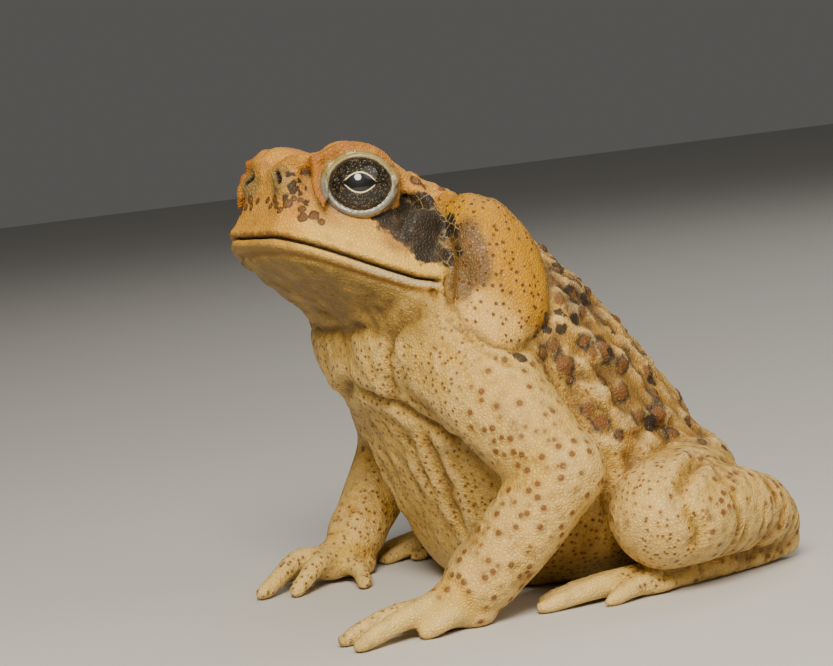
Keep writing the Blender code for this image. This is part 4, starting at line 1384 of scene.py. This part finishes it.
def granules_group():
    """Small rounded cells with seams between them, under a finer grain."""
    tree, source, result = new_group("granules", ("Scale",), ("Height", "Seam"))
    cells = add(tree, "ShaderNodeTexVoronoi", {"feature": "DISTANCE_TO_EDGE"},
                Vector=source.outputs["Place"], Scale=source.outputs["Scale"])
    grain = add(tree, "ShaderNodeTexNoise", Vector=source.outputs["Place"], Scale=2600.0, Detail=3.0)
    pebble = ease(cells.outputs["Distance"], 0.0, 0.28)
    feed(result.inputs["Height"], plus(times(pebble, 0.8), times(grain.outputs["Fac"], 0.25)))
    feed(result.inputs["Seam"], ease(cells.outputs["Distance"], 0.12, 0.0))
    return tree


DOTS, GRANULES = dots_group(), granules_group()
print("node groups", DOTS.name, GRANULES.name)

# %% [markdown]
# ## Skin
#
# Over the broad colours lie the crisp marks: red-brown dots on stained mounds, dark pores over the glands,
# black spots and ringed warts on the snout, the charcoal ear patch with its cream veins, the brown-edged
# lips and the moist lid. Each mark uses a distance kept on the mesh, roughened by noise, so its border is
# sharp at any size of face. Dots and granules also raise the surface a little.

# %% Layers of marks
RED_BROWN = (0.17, 0.062, 0.010)
DARK_BROWN = (0.075, 0.036, 0.011)
NEAR_BLACK = (0.014, 0.010, 0.006)
CHARCOAL = (0.022, 0.014, 0.006)
PALE_LIP = (0.46, 0.36, 0.20)
LID_BLUE = (0.15, 0.14, 0.105)
LID_YELLOW = (0.26, 0.20, 0.05)
LID_EDGE = (0.40, 0.35, 0.23)
VEIN = (0.34, 0.24, 0.09)
WART_TOP = (0.17, 0.066, 0.010)


def roughened(edge, name, amount):
    """A distance kept on the mesh, made uneven by edge, which is noise round zero."""
    return plus(read(edge.id_data, name), times(edge, amount))


def lay_dots(colour, dots, share, halo, tint):
    """A stained mound with a darker dot in its middle."""
    colour = lay(colour, halo, 0.42, dots.outputs["Mound"], share)
    return lay(colour, tint, 0.9, dots.outputs["Dot"], share)


def lay_warts(colour, edge, fine, broad):
    """Red-brown warts with a black surround on the back, dark-ringed ones and black spots on the snout."""
    wart, black, ringed = (
        roughened(edge, name, amount) for name, amount in (("wart", 0.6), ("black", 1.2), ("ringed", 0.5))
    )
    colour = lay(colour, NEAR_BLACK, 0.9, ease(wart, 1.9, 1.2), ease(broad, 0.38, 0.55))
    colour = lay(colour, WART_TOP, 0.95, ease(wart, 1.2, 0.8))
    colour = lay(colour, DARK_BROWN, 0.7, ease(wart, 0.9, 0.4), ease(fine, 0.45, 0.65))
    colour = lay(colour, NEAR_BLACK, 0.9, ease(black, 0.15, -0.15))
    colour = lay(colour, DARK_BROWN, 0.95, ease(ringed, 1.2, 0.95))
    return lay(colour, WART_TOP, 0.8, ease(ringed, 0.95, 0.4))


def lay_ear_patch(colour, edge, broad, place):
    """A mottled charcoal patch with a wavy border, crossed by pale veins towards its rear."""
    tree = edge.id_data
    ear = plus(roughened(edge, "ear", 0.9), times(minus(broad, 0.56), 5.0))
    net = add(tree, "ShaderNodeTexVoronoi", {"feature": "DISTANCE_TO_EDGE"}, Vector=place, Scale=420.0)
    vein = times(ease(net.outputs["Distance"], 0.06, 0.015), ease(ear, -2.6, -0.4), read(tree, "ear_rear"))
    patch = lay(CHARCOAL, GREY_BROWN, 0.6, ease(broad, 0.45, 0.7))
    return paint(colour, lay(patch, VEIN, 0.65, vein), ease(ear, 0.35, -0.35))


def lay_lips(colour, edge):
    """A pale lower lip between brown fringes, then near-black painted shade in the slit of the mouth and in
    the nostrils.
    """
    tree = edge.id_data
    mouth, fringe = read(tree, "mouth"), roughened(edge, "mouth", 1.1)
    along = read(tree, "mouth_share")
    for tint, strength, *shares in (
        (PALE_LIP, 0.85, ease(mouth, -0.25, -0.5), ease(fringe, -1.7, -1.2), read(tree, "rear_lip")),
        (DARK_BROWN, 0.6, ease(fringe, 1.3, 0.5), ease(fringe, -0.1, 0.1)),
        (STAIN_AND_GROOVE_SHADE, 0.6, ease(fringe, -3.0, -2.2), ease(fringe, -1.3, -1.9)),
        # Painted shade in the slit of the mouth.
        (NEAR_BLACK, 1.0, near(mouth, 0.0, 0.42, 0.12)),
    ):
        colour = lay(colour, tint, strength, *shares, along)
    # Painted shade in the nostrils.
    return lay(colour, NEAR_BLACK, 1.0, ease(read(tree, "nostril"), 0.85, 0.45))


def lay_lids(colour, edge, fine):
    """Lids blue-grey below and yellowish above, pale at the rim, near-black painted shade inside where lid
    meets eyeball; returns their share too.
    """
    opening = roughened(edge, "opening", 0.03)
    lid = ease(opening, 1.40, 1.22)
    tint = paint(LID_BLUE, LID_YELLOW, ease(read(edge.id_data, "lid_height"), -1.0, 3.0))
    tint = lay(tint, LID_EDGE, 0.6, near(opening, 1.10, 0.04, 0.01))
    tint = lay(tint, LID_EDGE, 0.35, ease(fine, 0.48, 0.7))
    tint = lay(tint, DARK_BROWN, 0.6, near(opening, 1.30, 0.07, 0.02))
    colour = paint(colour, tint, lid)
    # Painted shade where the lid meets the eyeball.
    return lay(colour, NEAR_BLACK, 0.95, ease(opening, 1.06, 1.0)), lid


# %% The skin's material
BUMP_HEIGHT = 0.00035


def skin_material():
    """One Principled shader fed by layers of colour, roughness and height."""
    material, tree, shader = new_material("toad_skin")
    place = add(tree, "ShaderNodeTexCoord").outputs["Object"]
    fine = add(tree, "ShaderNodeTexNoise", Vector=place, Scale=900.0, Detail=3.0).outputs["Fac"]
    broad = add(tree, "ShaderNodeTexNoise", Vector=place, Scale=220.0, Detail=4.0).outputs["Fac"]
    edge = times(minus(fine, 0.5), 1.6)
    pebbles = use_group(tree, GRANULES, Place=place, Scale=1400.0)
    small, large, pores = (
        use_group(tree, DOTS, Place=place, Scale=scale, Radius=radius)
        for scale, radius in ((800.0, 0.29), (430.0, 0.31), (700.0, 0.28))
    )
    on_gland = ease(read(tree, "gland"), 0.3, -0.5)
    fine_share, large_share = read(tree, "fine_dots"), read(tree, "large_dots")

    colour = lay(read(tree, "tone", "Color"), DARK_BROWN, 0.30, ease(broad, 0.52, 0.75))
    colour = lay(colour, LIP_CREAM, 0.35, ease(broad, 0.5, 0.25), minus(1.0, on_gland))
    colour = lay(colour, DARK_BROWN, 0.28, pebbles.outputs["Seam"])
    colour = lay_dots(colour, small, fine_share, STAIN_AND_GROOVE_SHADE, RED_BROWN)
    colour = lay_dots(colour, large, large_share, STAIN_AND_GROOVE_SHADE, RED_BROWN)
    colour = lay_dots(colour, pores, on_gland, ORANGE_BROWN, DARK_BROWN)
    colour = lay_warts(colour, edge, fine, broad)
    colour = lay_ear_patch(colour, edge, broad, place)
    colour = lay_lips(colour, edge)
    colour, lid = lay_lids(colour, edge, fine)
    feed(shader.inputs["Base Color"], colour)

    roughness = paint((0.52, 0.52, 0.52), (0.18, 0.18, 0.18), lid)
    feed(shader.inputs["Roughness"], lay(roughness, (0.42, 0.42, 0.42), 0.8, on_gland))
    height = plus(times(pebbles.outputs["Height"], 0.42), times(small.outputs["Mound"], fine_share, 0.35))
    height = plus(height, times(large.outputs["Mound"], large_share, 1.1))
    height = minus(height, times(pores.outputs["Dot"], on_gland, 0.5))
    height = times(height, minus(1.0, times(lid, 0.85)))
    bump = add(tree, "ShaderNodeBump", Height=height, Strength=0.9, Distance=BUMP_HEIGHT)
    feed(shader.inputs["Normal"], bump.outputs["Normal"])
    feed(shader.inputs["Specular IOR Level"], 0.4)
    return material


flesh_nodes = [name for name in frame["nodes"] if not name.startswith("eye_")]
new_piece("skin", skin_mesh, skin_material(), flesh_nodes)

# %% [markdown]
# ## Iris and pupil
#
# The iris is almost black, dusted with gold, and the pupil is a lying spindle with a thin gold rim that
# breaks at its ends. Both are drawn from the eye's own directions; a clear coat gives the wet gloss.

# %% The eyes' material
PUPIL_HALF = (0.455, 0.262)
PUPIL_BLACK = (0.001, 0.001, 0.0015)
IRIS_BLACK = (0.003, 0.002, 0.0015)
IRIS_BROWN = (0.010, 0.006, 0.003)
GOLD_FLECK = (0.62, 0.46, 0.20)
RIM_GOLD = (0.80, 0.66, 0.36)
EYE_GLOSS = {"Roughness": 0.55, "Specular IOR Level": 0.2, "Coat Weight": 1.0, "Coat Roughness": 0.03}


def eye_material():
    """|up| / b + (across / a)^2 is 1 at the spindle's border."""
    material, tree, shader = new_material("toad_eye")
    gaze = add(tree, "ShaderNodeSeparateXYZ", Vector=read(tree, "gaze", "Vector"))
    place = add(tree, "ShaderNodeTexCoord").outputs["Object"]
    across = math("DIVIDE", gaze.outputs["X"], PUPIL_HALF[0])
    up = math("DIVIDE", math("ABSOLUTE", gaze.outputs["Y"]), PUPIL_HALF[1])
    spindle = plus(up, times(across, across))
    flecks = add(tree, "ShaderNodeTexVoronoi", {"feature": "F1"}, Vector=place, Scale=4600.0)
    cluster = add(tree, "ShaderNodeTexNoise", Vector=place, Scale=1900.0, Detail=3.0).outputs["Fac"]
    colour = paint(IRIS_BLACK, IRIS_BROWN, ease(cluster, 0.4, 0.7))
    fleck = ease(flecks.outputs["Distance"], 0.40, 0.2)
    colour = lay(colour, GOLD_FLECK, 0.65, fleck, ease(cluster, 0.44, 0.60))
    past_rim = minus(spindle, plus(1.07, times(cluster, 0.12)))
    colour = paint(colour, RIM_GOLD, times(ease(past_rim, 0.05, 0.0), ease(up, 0.15, 0.4)))
    colour = paint(colour, PUPIL_BLACK, ease(spindle, 1.03, 0.98))
    feed(shader.inputs["Base Color"], colour)
    for name, value in EYE_GLOSS.items():
        feed(shader.inputs[name], value)
    return material


eye_finish = eye_material()
for side, word in SIDES:
    new_piece("eyeball_" + word, eye_mesh(side, word), eye_finish, ["eye_" + word])

# %% [markdown]
# ## Floor, light and camera
#
# The toad stands on a plain pale floor under soft light. The key light is a disc above the camera, which is
# also what shines in the eye; two wide discs further off, at the side and behind, fill the shadows. The
# camera has the photograph's height, direction and slight lean.

# %% Places of studio objects
PHOTO_WIDTH = 833
CAMERA_DISTANCE = 500.0
FOCAL_PIXELS = 2500.0
CAMERA_TURN, CAMERA_RISE, CAMERA_LEAN = np.radians([65.0, 5.0, 6.5])
TARGET = np.array([0.0, 0.0, 52.0])
SENSOR = 36.0


def direction(turn, rise):
    """Unit vector towards a viewer at that turn round the toad and rise above the floor, in radians."""
    return np.array([np.sin(turn) * np.cos(rise), -np.cos(turn) * np.cos(rise), np.sin(rise)])


def stand(obj, at, x_axis, y_axis, z_axis):
    """Puts an object at a point of the toad frame with the given axes."""
    turn = Matrix(np.array([x_axis, y_axis, z_axis]).T.tolist()).to_4x4()
    obj.matrix_world = Matrix.Translation(Vector((at + ROW_SHIFT) * MM)) @ turn
    bpy.context.scene.collection.objects.link(obj)


# %% The camera
back_axis = direction(CAMERA_TURN, CAMERA_RISE)
level_axis = np.array([np.cos(CAMERA_TURN), np.sin(CAMERA_TURN), 0.0])
upright = np.cross(back_axis, level_axis)
lean_cos, lean_sin = np.cos(CAMERA_LEAN), np.sin(CAMERA_LEAN)
camera_data = bpy.data.cameras.new("camera")
camera_data.sensor_width = SENSOR
camera_data.lens = SENSOR * FOCAL_PIXELS / PHOTO_WIDTH
camera_data.clip_start = 0.01
camera = bpy.data.objects.new("camera", camera_data)
stand(camera, TARGET + CAMERA_DISTANCE * back_axis, lean_cos * level_axis - lean_sin * upright,
      lean_sin * level_axis + lean_cos * upright, back_axis)
bpy.context.scene.camera = camera
print("camera lens", round(camera_data.lens, 1), "mm")

# %% Lights, floor and world
LIGHTS = [
    ("key", 62, 36, 700.0, 0.30, 8.2, (1.0, 0.92, 0.79)),
    ("fill", 120, 40, 1200.0, 1.0, 4.0, (1.0, 0.95, 0.88)),
    ("rear", 210, 50, 1200.0, 1.0, 4.0, (1.0, 0.98, 0.95)),
]
FLOOR_HALF = 3.0
FLOOR_PALE = (0.56, 0.545, 0.51)
WORLD_PALE = (0.80, 0.78, 0.74)
WORLD_STRENGTH = 0.12


def disc_light(name, turn, rise, distance, size, power, colour):
    """A disc that faces the toad's middle; angles in degrees, distance in mm, size in m, power in W."""
    data = bpy.data.lights.new(name, "AREA")
    data.shape = "DISK"
    data.size = size
    data.energy = power
    data.color = colour
    back = direction(np.radians(turn), np.radians(rise))
    across = np.cross((0.0, 0.0, 1.0), back)
    across /= np.linalg.norm(across)
    stand(bpy.data.objects.new(name, data), TARGET + distance * back, across, np.cross(back, across), back)


for light in LIGHTS:
    disc_light(*light)
floor_finish, _, floor_shader = new_material("floor")
feed(floor_shader.inputs["Base Color"], FLOOR_PALE)
feed(floor_shader.inputs["Roughness"], 0.8)
floor_mesh = bpy.data.meshes.new("floor")
corners = [(x * FLOOR_HALF, y * FLOOR_HALF, 0.0) for x, y in ((-1, -1), (1, -1), (1, 1), (-1, 1))]
floor_mesh.from_pydata(corners, [], [(0, 1, 2, 3)])
floor_mesh.materials.append(floor_finish)
floor = bpy.data.objects.new("floor", floor_mesh)
bpy.context.scene.collection.objects.link(floor)
world = bpy.data.worlds.new("studio")
world.use_nodes = True
background = world.node_tree.nodes["Background"]
feed(background.inputs["Color"], WORLD_PALE)
feed(background.inputs["Strength"], WORLD_STRENGTH)
bpy.context.scene.world = world
print("lights", len(LIGHTS), "floor", 2 * FLOOR_HALF, "m wide")
